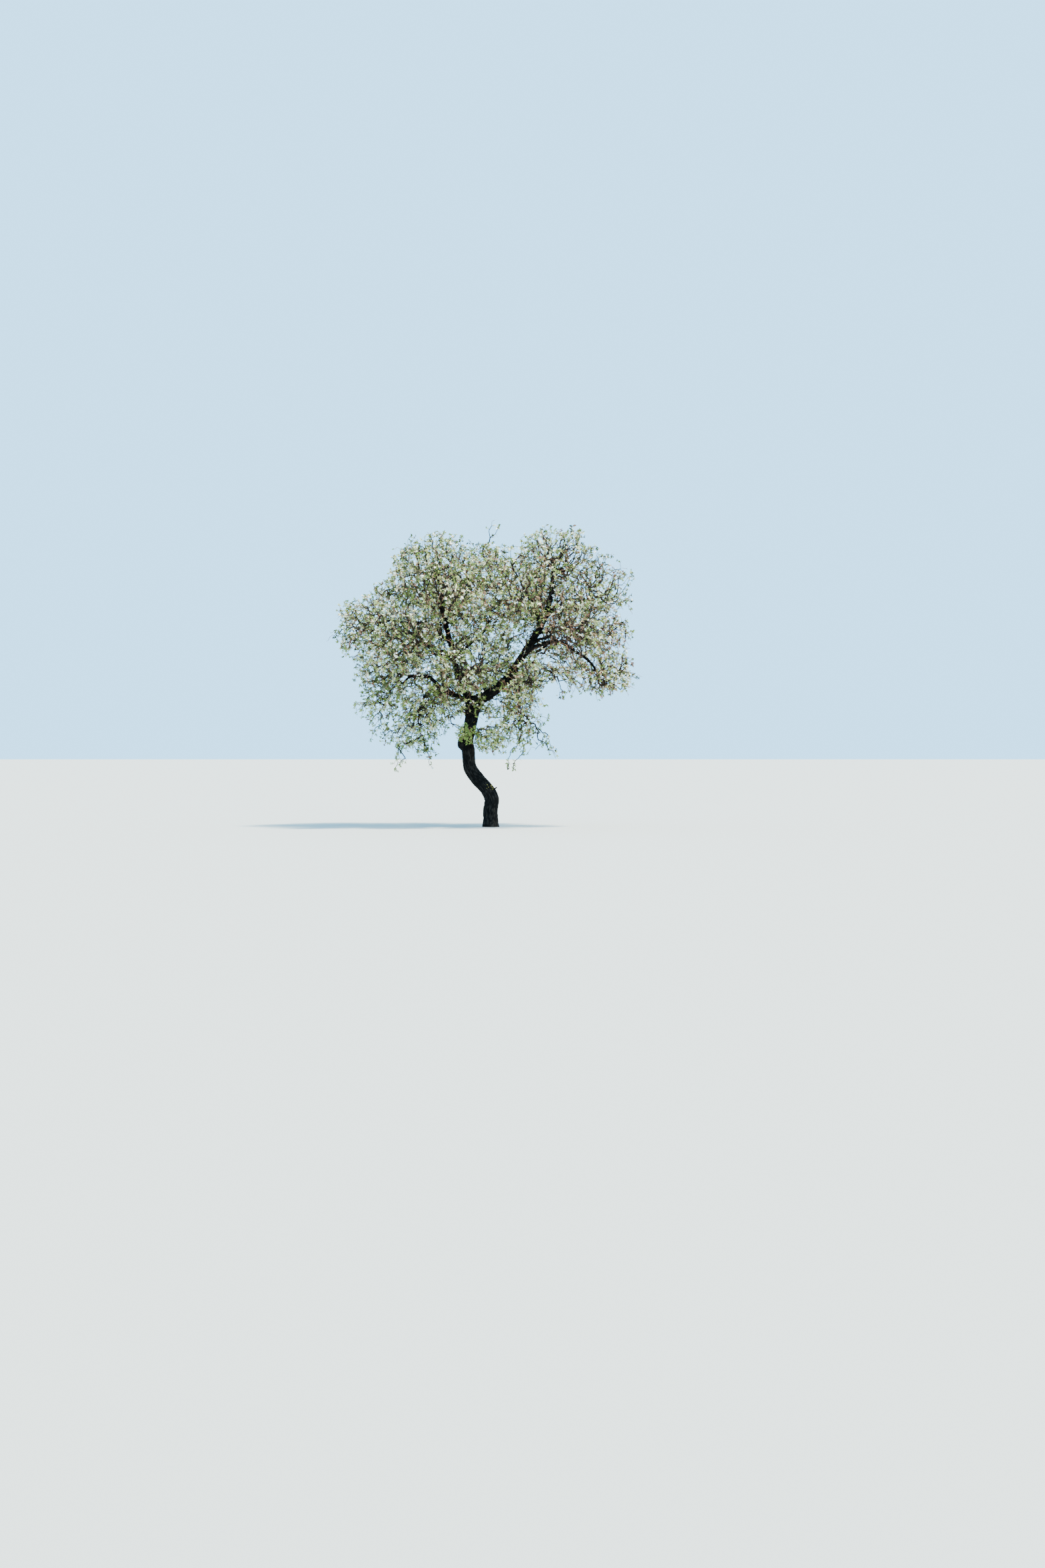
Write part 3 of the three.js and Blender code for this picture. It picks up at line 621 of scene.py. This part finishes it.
# Shoots straight off the sides of the boughs, which fill the crown round them
sideGrowth = {
    **growth, "perMetre": 62, "from": 0.1, "to": 0.97, "nearest": 0.07, "furthest": 0.46,
    "stemRadius": 0.012,
}
trunkTopGrowth = {
    **sideGrowth, "perMetre": 260, "from": 0.86, "to": 0.985, "nearest": 0.17, "furthest": 0.66,
}
leaderGrowth = {**sideGrowth, "from": 0.03, "perMetre": 75}
sideRules = {row[0]: sideGrowth for row in boughRows}
sideRules |= {"right_leader": leaderGrowth, "left_leader": leaderGrowth, "trunk": trunkTopGrowth}

crownHull = {
    "middle": np.array([-0.05, 0.05, 3.9]), "half": np.array([3.2, 2.15, 2.35]),
    "behind": 0.85,  # of a mass's half sizes
}


def newSpace(name, middle, half, **more):
    return {"name": name, "middle": np.array(middle) * mm, "half": np.array(half) * mm, **more}


spaces = []
for (bough, *_), (name, full, middle, half, *tips) in zip(boughRows, massRows):
    line = limbs[bough]["line"]
    spaces.append(newSpace(
        name, middle, half, rule=growth, full=full, limb=bough, start=line[-1],
        heading=headingsAlong(line, [1])[0], tips=np.array(tips) * mm,
        stemRadius=limbs[bough]["tipRadius"] * growth["stemShare"],
    ))
trunkLine = limbs["trunk"]["line"]
for name, height, facing, middle, half in trunkGrowthRows:
    place = trunkLine[np.abs(trunkLine[:, 2] - height * mm).argmin()]
    heading = unit(np.array(facing, float))
    spaces.append(newSpace(
        name, middle, half, rule=trunkGrowth, full=1, limb=None, heading=heading, tips=[],
        start=place + heading * trunkGrowth["stemFrom"], stemRadius=trunkGrowth["stemRadius"],
    ))
middles = np.array([space["middle"] for space in spaces])
halves = np.array([space["half"] for space in spaces])
limbPlaces = np.concatenate([placesAlong(limb["line"], limbShares) for limb in limbs.values()])
limbRadii = np.concatenate([radiusAlong(name) for name in limbs])


def inOwnSpace(index, points, margin):
    away = lengthsOf((points[:, None] - middles) / halves)
    own = away[:, index].copy()
    away[:, index] = np.inf
    return own + margin < away.min(axis=1)


def clearOfLimbs(points, room):
    gaps = lengthsOf(points[:, None] - limbPlaces) - limbRadii
    return gaps.min(axis=1) > room


def randomUnits(rng, count):
    return unit(rng.normal(size=(count, 3)))


def insideBox(points, room):  # inside the solids' box, and this far from its sides
    return ((points > np.array(cadBox[0]) + room) & (points < np.array(cadBox[1]) - room)).all(axis=1)


def patchesAt(places, reach):  # a slow drift over the crown, about -0.6 to 0.6
    return np.array([noise.noise(Vector(place / reach)) for place in places])


def betweenMasses(points):  # in the crown's hull, and behind or in front of a mass
    hull = lengthsOf((points - crownHull["middle"]) / crownHull["half"])
    seen = (points[:, None, ::2] - middles[:, ::2]) / halves[:, ::2]
    return (hull < 1) & (lengthsOf(seen).min(axis=1) < crownHull["behind"])


def keptOpen(points, rng):  # thins them out where the photograph shows sky
    keep = np.ones(len(points), bool)
    for across, high, reach, share in openings:
        near = np.hypot(points[:, 0] - across, points[:, 2] - high) < reach
        keep &= ~near | (rng.random(len(points)) < share)
    return points[keep & (rng.random(len(points)) < shareBeforeLimbs(points))]


def shareBeforeLimbs(points, steps=60):  # what share is kept in front of a limb that shows through
    kept = np.ones(len(points))
    for name, (first, last, room, share) in shownLimbs.items():
        line = placesAlong(limbs[name]["line"], np.linspace(first, last, steps))
        seen = lengthsOf(points[:, None, ::2] - line[:, ::2]) - limbs[name]["shownRadius"]
        near = seen.argmin(axis=1)
        hides = (seen.min(axis=1) < room) & (points[:, 1] < line[near, 1])
        kept[hides] = np.minimum(kept[hides], share)
    return kept


def spacedOut(tried, count, first):  # of each few places tried, the one furthest from the rest
    chosen = list(first)
    for batch in np.array_split(tried, count):
        if len(batch) == 0:
            continue
        if not chosen:
            chosen.append(batch[0])
        gaps = lengthsOf(batch[:, None] - np.array(chosen)).min(axis=1)
        chosen.append(batch[gaps.argmax()])
    return np.array(chosen)


def ownPlaces(index, count, rng):  # in a mass's own space, with its hollows and humps
    space = spaces[index]
    rule = space["rule"]
    reach = np.where(rng.random(count) < rule["sprigShare"], rule["sprigReach"], rule["reach"])
    ways = randomUnits(rng, count)
    lumps = patchesAt(ways + index * rule["lumpShift"], rule["lumpReach"]).clip(*rule["lumpLimits"])
    far = (np.cbrt(rng.random(count)) * reach * (1 + rule["lumpShare"] * lumps))[:, None]
    points = space["middle"] + ways * far * space["half"]
    fits = inOwnSpace(index, points, rule["cellMargin"]) & clearOfLimbs(points, rule["room"])
    return points[fits & insideBox(points, rule["boxMargin"])]


def tipTargets(space, rng):  # each furthest tip, and some places behind and beside it
    rule = space["rule"]
    targets = []
    for tip in space["tips"]:
        way = unit(tip - space["middle"])
        targets.append(tip - way * rule["tipInset"])
        for _ in range(rule["tipTargets"]):
            near = tip - way * abs(rng.normal()) * rule["tipSpread"] * rule["tipBack"]
            targets.append(near + rng.normal(size=3) * rule["tipSpread"] * rule["tipAside"])
    return targets


def scatterTargets(index, rng):
    space = spaces[index]
    rule = space["rule"]
    share = len(ownPlaces(index, rule["trial"], rng)) / rule["trial"]
    volume = 4 / 3 * math.pi * np.prod(space["half"] * rule["reach"]) * share
    atTips = tipTargets(space, rng)
    count = round(rule["targets"] * volume * space["full"])
    tried = int(count * rule["tries"] / max(share, rule["leastShare"]))
    targets = spacedOut(ownPlaces(index, tried, rng), count, [])
    if space["limb"] is None:
        return targets
    outer = space["half"] * rule["fillReach"]
    points = (rng.random((rule["fillTrial"], 3)) * 2 - 1) * outer + space["middle"]
    away = lengthsOf((points - space["middle"]) / space["half"])
    fits = (away > rule["reach"]) & inOwnSpace(index, points, rule["cellMargin"])
    fits &= betweenMasses(points) & clearOfLimbs(points, rule["room"])
    count = round(rule["fill"] * np.prod(outer) * 8 * fits.mean() * space["full"])
    if count:
        targets = spacedOut(points[fits][:count * rule["tries"]], count, list(targets))
    return np.array(atTips + list(keptOpen(targets, rng)))


def sideTargets(name, rule, rng):
    line = limbs[name]["line"]
    count = round(lineLength(line) * (rule["to"] - rule["from"]) * rule["perMetre"])
    tried = count * rule["tries"]
    shares = rule["from"] + rng.random(tried) * (rule["to"] - rule["from"])
    away = np.cross(headingsAlong(line, shares), randomUnits(rng, tried))
    reach = rule["nearest"] + (rule["furthest"] - rule["nearest"]) * rng.random(tried)
    points = placesAlong(line, shares) + unit(away) * reach[:, None]
    return keptOpen(spacedOut(points[clearOfLimbs(points, rule["room"])], count, []), rng)


def limbNodes(name, first, last):  # places on a limb's middle line where a shoot may start
    line = limbs[name]["line"]
    count = max(2, round(lineLength(line) * (last - first) / growth["limbSpacing"]))
    shares = np.linspace(first, last, count)
    return placesAlong(line, shares), headingsAlong(line, shares)


def growShoots(targets, rule, stem, limbAt, limbWay, rng):  # to each target by the cheapest way
    stemNodes = len(stem[0])
    count = roots = stemNodes + len(limbAt)
    most = count + len(targets) * rule["mostSteps"]
    at, way = np.zeros((2, most, 3))
    at[:count] = np.concatenate([stem[0], limbAt])
    way[:count] = np.concatenate([stem[1], limbWay])
    before = np.full(most, -1)
    mayStart = np.ones(most, bool)
    if stemNodes:
        before[1] = 0
        mayStart[0] = False
    for target in targets[lengthsOf(targets - at[0]).argsort()]:
        lines = target - at[:count]
        lengths = lengthsOf(lines)
        cost = lengths - rule["turnCost"] * (lines * way[:count]).sum(axis=1)
        cost[~mayStart[:count]] = np.inf
        start = int(cost.argmin())
        line, length = lines[start], lengths[start]
        steps = max(1, round(length / rule["step"]))
        share = (np.arange(steps) + 1) / steps
        arch = (up + randomUnits(rng, 1)[0] * rule["archLean"]) * length * rule["bow"]
        lift = np.sin(np.pi * share) + rule["archSkew"] * np.sin(2 * np.pi * share)
        stray = randomUnits(rng, steps) * rule["wander"] * rule["step"]
        stray[-1] = 0
        places = at[start] + share[:, None] * line + lift[:, None] * arch + stray
        blocked = ~clearOfLimbs(places, rule["pathRoom"])
        if stemNodes <= start < roots:  # it first comes out of its own limb
            blocked[:int((~blocked).argmax())] = False
        if blocked.any():
            places = places[:int(blocked.argmax())]
        if len(places) == 0:
            continue
        grown = np.arange(count, count + len(places))
        at[grown] = places
        before[grown] = np.concatenate([[start], grown[:-1]])
        way[grown] = unit(at[grown] - at[before[grown]])
        mayStart[grown[-1]] = False
        count += len(places)
    return at[:count], way[:count], before[:count], roots


def twigRuns(before):  # each run follows the child that bears most; a side shoot starts a new one
    count = len(before)
    bears = np.ones(count, int)
    bears[before[before >= 0]] = 0
    children = [[] for _ in range(count)]
    for i in range(count - 1, -1, -1):
        if before[i] >= 0:
            bears[before[i]] += bears[i]
            children[before[i]].insert(0, i)
    runs = []
    starts = [(child, root) for root in np.flatnonzero(before < 0) for child in children[root]]
    while starts:
        node, origin = starts.pop()
        run = [origin, node]
        while children[node]:
            ordered = sorted(children[node], key=lambda child: -bears[child])
            starts += [(child, node) for child in ordered[1:]]
            node = ordered[0]
            run.append(node)
        runs.append(run)
    return runs, bears


def grownMass(at, way, before, roots, rule, stemRadius):
    runs, bears = twigRuns(before)
    shoot = np.zeros(len(at), int)
    for run in runs:
        shoot[run[1:]] = run[1]
    thick = np.minimum(rule["tipRadius"] * np.maximum(bears, 1) ** rule["thicken"], stemRadius)
    thick[:roots] = stemRadius
    return {"at": at, "way": way, "before": before, "runs": runs, "bears": bears,
            "thick": thick, "shoot": shoot, "roots": roots}


noNodes = np.zeros((0, 3))
crown = []
for index, space in enumerate(spaces):
    rng = np.random.default_rng(growth["seed"] + index)
    rule = space["rule"]
    stem = (np.stack([space["start"], space["start"] + space["heading"] * rule["stem"]]),
            np.stack([space["heading"]] * 2))
    limbAt, limbWay = noNodes, noNodes
    if space["limb"]:
        limbAt, limbWay = limbNodes(space["limb"], rule["limbFrom"], rule["limbTo"])
    grown = growShoots(scatterTargets(index, rng), rule, stem, limbAt, limbWay, rng)
    crown.append(grownMass(*grown, rule, space["stemRadius"]))
for index, (name, rule) in enumerate(sideRules.items()):
    rng = np.random.default_rng(growth["sideSeed"] + index)
    limbAt, limbWay = limbNodes(name, rule["from"], rule["to"])
    grown = growShoots(sideTargets(name, rule, rng), rule, (noNodes, noNodes), limbAt, limbWay, rng)
    crown.append(grownMass(*grown, rule, rule["stemRadius"]))
allMasses = ["foliage_" + space["name"] for space in spaces]
print("shoots grown:", sum(len(mass["runs"]) for mass in crown),
      "stretches:", sum(len(mass["at"]) for mass in crown))


# Joined meshes from arrays: many small things of one kind in one piece

def crownPiece(name, slotName, verts, loops, loopTotals, material):
    mesh = bpy.data.meshes.new(name)
    mesh.vertices.add(len(verts))
    mesh.vertices.foreach_set("co", verts.astype(np.float32).ravel())
    mesh.loops.add(len(loops))
    mesh.loops.foreach_set("vertex_index", loops.astype(np.int32))
    mesh.polygons.add(len(loopTotals))
    starts = np.cumsum(loopTotals) - loopTotals
    mesh.polygons.foreach_set("loop_start", starts.astype(np.int32))
    mesh.polygons.foreach_set("loop_total", loopTotals.astype(np.int32))
    mesh.update(calc_edges=True)
    mesh.validate()
    rideAndReplace(pieceOf(mesh, name, material), slotName, *allMasses)


def joined(sets, key):
    return np.concatenate([entry[key] for entry in sets])


turns = np.arange(3) * math.pi * 2 / 3


def threeCorners(sides, across):  # round each place, one away
    return np.cos(turns)[:, None] * sides[:, None] + np.sin(turns)[:, None] * across[:, None]


# Twigs: three-sided tubes that taper along each run to a point

twigLook = {
    "youngRadius": 0.0069,  # a run that starts thinner than this is young bark
    # old, thick twigs: their own darker bark, darkened further as painted shade
    "oldShaded": {"colour": (34, 24, 18), "roughness": 0.85, "grain": 120, "gloss": 0.15},
    "young": {"colour": (126, 90, 68), "roughness": 0.6, "grain": 200},
    "sideShare": 0.8,  # of the shoot that bears it, at a run's start
    "cornerHint": (0.31, 0.95, 0.05),  # a slanting direction that sets where the corners lie
}


def twigTube(mass, run):
    at = mass["at"][run]
    radii = mass["thick"][run]
    radii[0] = min(radii[1], radii[0] * twigLook["sideShare"])
    ways = unit(np.gradient(at, axis=0))
    sides = carriedSides(ways, np.cross(ways[0], twigLook["cornerHint"]))
    rings = at[:, None] + threeCorners(sides, np.cross(ways, sides)) * radii[:, None, None]
    verts = np.concatenate([rings[:-1].reshape(-1, 3), at[-1:]])
    a = np.arange(len(verts) - 1).reshape(-1, 3)
    b = np.roll(a, -1, axis=1)
    walls = np.stack([a[:-1], b[:-1], b[1:], a[1:]], axis=-1)
    point = np.stack([a[-1], b[-1], np.full(3, len(verts) - 1)], axis=-1)
    loops = np.concatenate([walls.ravel(), point.ravel(), a[0, ::-1]])
    return verts, loops, [4] * (walls.size // 4) + [3] * 4


def makeTwigs(name, young, look):
    tubes = [twigTube(mass, run) for mass in crown for run in mass["runs"]
             if (mass["thick"][run[1]] < twigLook["youngRadius"]) == young]
    verts, loops, totals = zip(*tubes)
    firsts = np.cumsum([0] + [len(tube) for tube in verts])
    loops = np.concatenate([tube + first for tube, first in zip(loops, firsts)])
    crownPiece(name, "twigs", np.concatenate(verts), loops, np.concatenate(totals),
               plainMaterial(look + "TwigBark", **twigLook[look]))


makeTwigs("twigsOldShaded", False, "oldShaded")
makeTwigs("twigsYoung", True, "young")
print("twigs made")


# Spurs: short shoots on the thin twigs, which bear the leaves and the blossom

spurLook = {
    "seed": 700,
    "leafyBelow": 7,  # stretches that bear no more ends than this have spurs
    "each": 0.62,
    "forward": 0.5,
    "upward": 0.3,
    "length": 0.055,
    "vary": 0.35,
    "varyLimits": (-2, 1.3),
    "radius": 0.0037,
    "bark": {"colour": (142, 109, 85), "roughness": 0.7, "grain": 250},
}


def spursOf(mass, rng):  # foot and tip of each spur; the last places are the shoots' own ends
    at, way, before, bears = mass["at"], mass["way"], mass["before"], mass["bears"]
    nodes = np.arange(mass["roots"], len(at))
    thin = nodes[bears[nodes] <= spurLook["leafyBelow"]]
    owners = np.repeat(thin, rng.poisson(spurLook["each"], len(thin)))
    along = rng.random(len(owners))[:, None]
    feet = at[before[owners]] * (1 - along) + at[owners] * along
    across = unit(np.cross(way[owners], randomUnits(rng, len(owners))))
    heads = unit(across + way[owners] * spurLook["forward"] + up * spurLook["upward"])
    vary = rng.normal(size=len(owners)).clip(*spurLook["varyLimits"])
    tips = feet + heads * (spurLook["length"] * np.exp(spurLook["vary"] * vary))[:, None]
    ends = np.setdiff1d(nodes, before)
    return {
        "feet": feet, "tips": tips,
        "places": np.concatenate([tips, at[ends]]), "heads": np.concatenate([heads, way[ends]]),
        "stems": np.concatenate([tips - feet, at[ends] - at[before[ends]]]),
        "owners": np.concatenate([owners, ends]),
    }


def makeSpurs():
    feet, tips = joined(spurSets, "feet"), joined(spurSets, "tips")
    ways = unit(tips - feet)
    side = unit(np.cross(ways, twigLook["cornerHint"]))
    corners = feet[:, None] + threeCorners(side, np.cross(ways, side)) * spurLook["radius"]
    verts = np.concatenate([corners, tips[:, None]], axis=1)
    loops = np.array([2, 1, 0, 0, 1, 3, 1, 2, 3, 2, 0, 3])
    starts = np.arange(len(feet))[:, None] * 4
    crownPiece("twigSpurs", "twigs", verts.reshape(-1, 3), (loops + starts).ravel(),
               np.full(len(feet) * 4, 3), plainMaterial("spurBark", **spurLook["bark"]))
    print("spurs", len(feet))


spurSets = [spursOf(mass, np.random.default_rng(spurLook["seed"] + i)) for i, mass in enumerate(crown)]
makeSpurs()


# Leaves: sprays of young leaves at the spurs' tips, dealt out colour by colour

leafLook = {
    "seed": 900,
    "outline": [(0, 0), (0.21, 0.3), (0.2, 0.66), (0, 1), (-0.2, 0.66), (-0.21, 0.3)],
    "fold": 0.32,
    "droop": 0.14,
    "length": 0.039,
    "vary": 0.3,
    "varyLimits": (-1.6, 1.6),
    "downStem": 0.85,  # how far down its spur a leaf may stand
    "along": 0.65,  # its heading follows its spur, strays and hangs
    "stray": 0.95,
    "hang": 0.15,
    "faceUp": 0.3,
    "pastBox": 0.03,  # how far out of the solids' box a leaf may stand
    "each": (6, 11),
    "endEach": (7, 12),
    "roughness": 0.5,
    "grain": 180,
    "colours": {
        # Pale: pale leaf backs and young downy leaves, and painted highlight of sun glare on the leaves
        "Pale": (220, 216, 181),
        "Spring": (170, 177, 112),
        "Fresh": (119, 136, 63),
        # Shade: painted shade, leaves darkened as if in shadow
        "Olive": (91, 101, 50),
        "Shade": (57, 65, 31),
        "Bronze": (142, 102, 76),
    },
    # shares of the six colours on the crown's left and right; the right has more Shade, so more painted
    # shade
    "sharesLeft": (0.15, 0.24, 0.25, 0.18, 0.15, 0.03),
    "sharesRight": (0.15, 0.18, 0.19, 0.17, 0.23, 0.08),
    "rightFrom": 0.3,
    "rightTo": 1.6,
    "bareLeft": 0.3,  # share of the spurs that have no leaves yet
    "bareRight": 0.53,
    "bareSpot": (1.35, 3.75, 0.9, 0.75),  # middle across and up, reach, and share of bare spurs there
    "bareLimits": (0.03, 0.95),
    "shootShare": 0.6,  # of the sprays that take their whole shoot's colour
    "clumpReach": 0.28,  # of the leafy and the barer patches
    "clumpShare": 0.95,
    "toneReach": 0.5,  # of the paler and the darker patches
    "toneShare": 0.8,
    "toneShift": 7,  # away from the pattern of the leafy patches
    "lowFrom": 3.0,  # the sprays get greener from this height down to the next
    "lowTo": 2.2,
    "greenShare": 0.55,
}


def faceThrough(bm, points):  # gives its corners in the points' order
    ring = bmesh.ops.create_circle(bm, cap_ends=True, segments=len(points), radius=0.5)["verts"]
    ring.sort(key=lambda vert: math.atan2(vert.co.x, -vert.co.y) % (math.pi * 2))
    for vert, point in zip(ring, points):
        vert.co = point
    return ring


def leafTemplate():  # folded along its rib, one long, with its foot at the origin
    bm = bmesh.new()
    ring = faceThrough(bm, [
        (out, along, abs(out) * leafLook["fold"] - leafLook["droop"] * along ** 2)
        for out, along in leafLook["outline"]
    ])
    bmesh.ops.connect_verts(bm, verts=[ring[0], ring[3]])
    return templateArrays(bm)


def templateArrays(bm):
    bm.verts.index_update()
    verts = np.array([vert.co[:] for vert in bm.verts])
    loops = [vert.index for face in bm.faces for vert in face.verts]
    totals = [len(face.verts) for face in bm.faces]
    bm.free()
    return verts, np.array(loops), np.array(totals)


def scatteredPiece(name, slotName, template, feet, ways, normals, sizes, material):
    verts, loops, totals = template
    sides = unit(np.cross(ways, normals))
    normals = np.cross(sides, ways)
    shape = verts[None] * sizes[:, None, None]
    placed = (feet[:, None] + shape[..., :1] * sides[:, None] + shape[..., 1:2] * ways[:, None]
              + shape[..., 2:] * normals[:, None])
    starts = np.arange(len(feet))[:, None] * len(verts)
    crownPiece(name, slotName, placed.reshape(-1, 3), (loops + starts).ravel(),
               np.tile(totals, len(feet)), material)


def rightwards(places, look):  # 0 on the crown's left, 1 on its right
    return np.clip((places[:, 0] - look["rightFrom"]) / (look["rightTo"] - look["rightFrom"]), 0, 1)


def leavesEach(spurs, right, lush, rng):  # how many leaves each spray has
    places, look = spurs["places"], leafLook
    spurCount = len(spurs["tips"])
    counts = rng.integers(*look["each"], len(places))
    counts[spurCount:] = rng.integers(*look["endEach"], len(places) - spurCount)
    bare = look["bareLeft"] + right * (look["bareRight"] - look["bareLeft"])
    middle, high, reach, share = look["bareSpot"]
    near = np.hypot(places[:, 0] - middle, places[:, 2] - high) / reach
    bare = np.maximum(bare, share * np.clip(2 - near * 2, 0, 1))
    bare = bare - look["clumpShare"] * patchesAt(places, look["clumpReach"])
    bare = np.maximum(bare.clip(*look["bareLimits"]), 1 - shareBeforeLimbs(places))
    counts[rng.random(len(places)) < (0 if lush else bare)] = 0
    return counts


def sprayColours(mass, spurs, right, lush, rng):  # the number of each spray's colour
    places, look = spurs["places"], leafLook
    left = np.array(look["sharesLeft"])
    bounds = np.cumsum(left + right[:, None] * (np.array(look["sharesRight"]) - left), axis=1)
    ofShoot = rng.random(len(mass["at"]))[mass["shoot"][spurs["owners"]]]
    draw = np.where(rng.random(len(places)) < look["shootShare"], ofShoot, rng.random(len(places)))
    draw = np.abs(draw + look["toneShare"] * patchesAt(places + look["toneShift"], look["toneReach"]))
    draw = np.where(draw > 1, 2 - draw, draw)
    low = ((look["lowFrom"] - places[:, 2]) / (look["lowFrom"] - look["lowTo"])).clip(0, 1)
    greener = rng.random(len(places)) < (1 if lush else low * look["greenShare"])
    draw = np.where(greener, bounds[:, 0] + draw * (bounds[:, 2] - bounds[:, 0]), draw)
    return (draw[:, None] > bounds / bounds[:, -1:]).sum(axis=1)


def dealLeaves(mass, spurs, lush, rng):
    look = leafLook
    right = rightwards(spurs["places"], look)
    counts = leavesEach(spurs, right, lush, rng)
    spray = np.repeat(np.arange(len(counts)), counts)
    stray = randomUnits(rng, len(spray)) * look["stray"]
    ways = unit(spurs["heads"][spray] * look["along"] + stray - up * look["hang"])
    normals = up * look["faceUp"] + randomUnits(rng, len(spray))
    vary = rng.normal(size=len(spray)).clip(*look["varyLimits"])
    sizes = look["length"] * (1 + look["vary"] * vary)
    colours = sprayColours(mass, spurs, right, lush, rng)
    down = (rng.random(len(spray)) * look["downStem"])[:, None]
    return spurs["places"][spray] - spurs["stems"][spray] * down, ways, normals, sizes, colours[spray]


leafDeals = []
for i, (mass, spurs) in enumerate(zip(crown, spurSets)):
    lush = i < len(spaces) and spaces[i]["name"] == "trunk_sprout"
    leafDeals.append(dealLeaves(mass, spurs, lush, np.random.default_rng(leafLook["seed"] + i)))
feet, ways, normals, sizes, colours = (np.concatenate(part) for part in zip(*leafDeals))
inside = insideBox(feet, -leafLook["pastBox"])
leafShape = leafTemplate()
for number, (colourName, colour) in enumerate(leafLook["colours"].items()):
    chosen = inside & (colours == number)
    leaf = plainMaterial("leaf" + colourName, colour, leafLook["roughness"], leafLook["grain"])
    scatteredPiece("leaves" + colourName, "leaves", leafShape, feet[chosen], ways[chosen],
                   normals[chosen], sizes[chosen], leaf)
    print("leaves", colourName, int(chosen.sum()))


# Blossom: white, five petals round a greenish heart, in clusters on some spurs

blossomLook = {
    "seed": 77,
    "shareLeft": 0.06,  # of the spurs
    "shareRight": 0.03,
    "rightFrom": -0.5,
    "rightTo": 0.5,
    "each": (2, 5),
    "spread": 0.8,
    "size": 0.035,
    "vary": 0.12,
    "petals": 5,
    "outline": [(0, 0.06), (0.2, 0.3), (0.13, 0.5), (0, 0.45), (-0.13, 0.5), (-0.2, 0.3)],
    "cup": 0.5,
    "stalk": 0.85,  # of the flower's size
    "cones": [(3, 0.05, -0.1, 0.85), (5, 0.12, 0.8, 1)],  # stalk and heart: sides, radius, foot, top
    "petal": {"colour": (240, 238, 230), "roughness": 0.55, "grain": 260},
    "heart": {"colour": (168, 172, 100), "roughness": 0.7, "grain": 400},
}


def petalTemplate():  # cupped petals with notched tips
    look = blossomLook
    bm = bmesh.new()
    faceThrough(bm, [
        (out, along, along ** 2 * look["cup"] + look["stalk"]) for out, along in look["outline"]
    ])
    petal = list(bm.verts) + list(bm.edges) + list(bm.faces)
    for turn in range(1, look["petals"]):
        copied = bmesh.ops.duplicate(bm, geom=petal)["geom"]
        verts = [part for part in copied if isinstance(part, bmesh.types.BMVert)]
        rotation = Matrix.Rotation(turn * math.pi * 2 / look["petals"], 3, "Z")
        bmesh.ops.rotate(bm, verts=verts, cent=(0, 0, 0), matrix=rotation)
    return templateArrays(bm)


def heartTemplate():  # the flower's stalk, with a small heart on it
    bm = bmesh.new()
    for sides, radius, foot, top in blossomLook["cones"]:
        bmesh.ops.create_cone(bm, cap_ends=True, segments=sides, radius1=radius, radius2=0,
                              depth=top - foot, matrix=Matrix.Translation((0, 0, (foot + top) / 2)))
    return templateArrays(bm)


def makeBlossom():
    look = blossomLook
    rng = np.random.default_rng(look["seed"])
    places, heads = joined(spurSets, "places"), joined(spurSets, "heads")
    share = look["shareLeft"] + rightwards(places, look) * (look["shareRight"] - look["shareLeft"])
    flowering = np.flatnonzero(insideBox(places, 0) & (rng.random(len(places)) < share))
    owners = np.repeat(flowering, rng.integers(*look["each"], len(flowering)))
    heads = unit(heads[owners] + randomUnits(rng, len(owners)) * look["spread"])
    sizes = look["size"] * (1 + look["vary"] * rng.normal(size=len(owners)))
    # The templates look along their z, which the scatter takes from the normals
    ways = unit(np.cross(heads, randomUnits(rng, len(owners))))
    for name, template, paint in (("blossomPetal", petalTemplate(), look["petal"]),
                                  ("blossomHeart", heartTemplate(), look["heart"])):
        scatteredPiece(name + "s", "blossom", template, places[owners], ways, heads, sizes,
                       plainMaterial(name, **paint))
    print("blossoms", len(owners))


makeBlossom()


# Floor, light and camera

stageLook = {
    "floor": (168, 168, 162),
    "floorRoughness": 0.9,
    "floorSize": 9000,
    "sky": (0.3, 0.67, 1.0, 1),
    "skyStrength": 3.35,
    "sun": (1, 0.94, 0.8),
    "sunStrength": 18,
    "sunSize": math.radians(5),
    "sunFrom": (0.42, -0.16, 0.9),
}


def makeStage():
    bm = bmesh.new()
    bmesh.ops.create_grid(bm, x_segments=4, y_segments=4, size=stageLook["floorSize"] / 2)
    pale = newMaterial("paleFloor", stageLook["floor"], stageLook["floorRoughness"])[0]
    pieceOf(meshOf(bm, "paleFloor"), "paleFloor", pale)
    world = bpy.data.worlds.new("paleSky")
    world.use_nodes = True
    feed(world.node_tree, world.node_tree.nodes["Background"], {
        "Color": stageLook["sky"], "Strength": stageLook["skyStrength"],
    })
    bpy.context.scene.world = world
    sun = bpy.data.lights.new("softSun", "SUN")
    sun.energy = stageLook["sunStrength"]
    sun.color = stageLook["sun"]
    sun.angle = stageLook["sunSize"]
    lamp = linked("softSun", sun)
    lamp.rotation_euler = Vector(stageLook["sunFrom"]).to_track_quat("Z", "Y").to_euler()


view = {
    "lens": 50,
    "imageHeight": 36,
    "place": (0.656, -44.62, 1.4),
    "pitch": math.radians(-0.667),
    "reach": 9000,
}


def makeCamera():
    camera = bpy.data.cameras.new("photoView")
    camera.sensor_fit = "VERTICAL"
    camera.sensor_height = view["imageHeight"]
    camera.sensor_width = view["imageHeight"]
    camera.lens = view["lens"]
    camera.clip_end = view["reach"]
    holder = linked("photoView", camera)
    holder.location = view["place"]
    holder.rotation_euler = (math.pi / 2 + view["pitch"], 0, 0)
    bpy.context.scene.camera = holder


makeStage()
makeCamera()
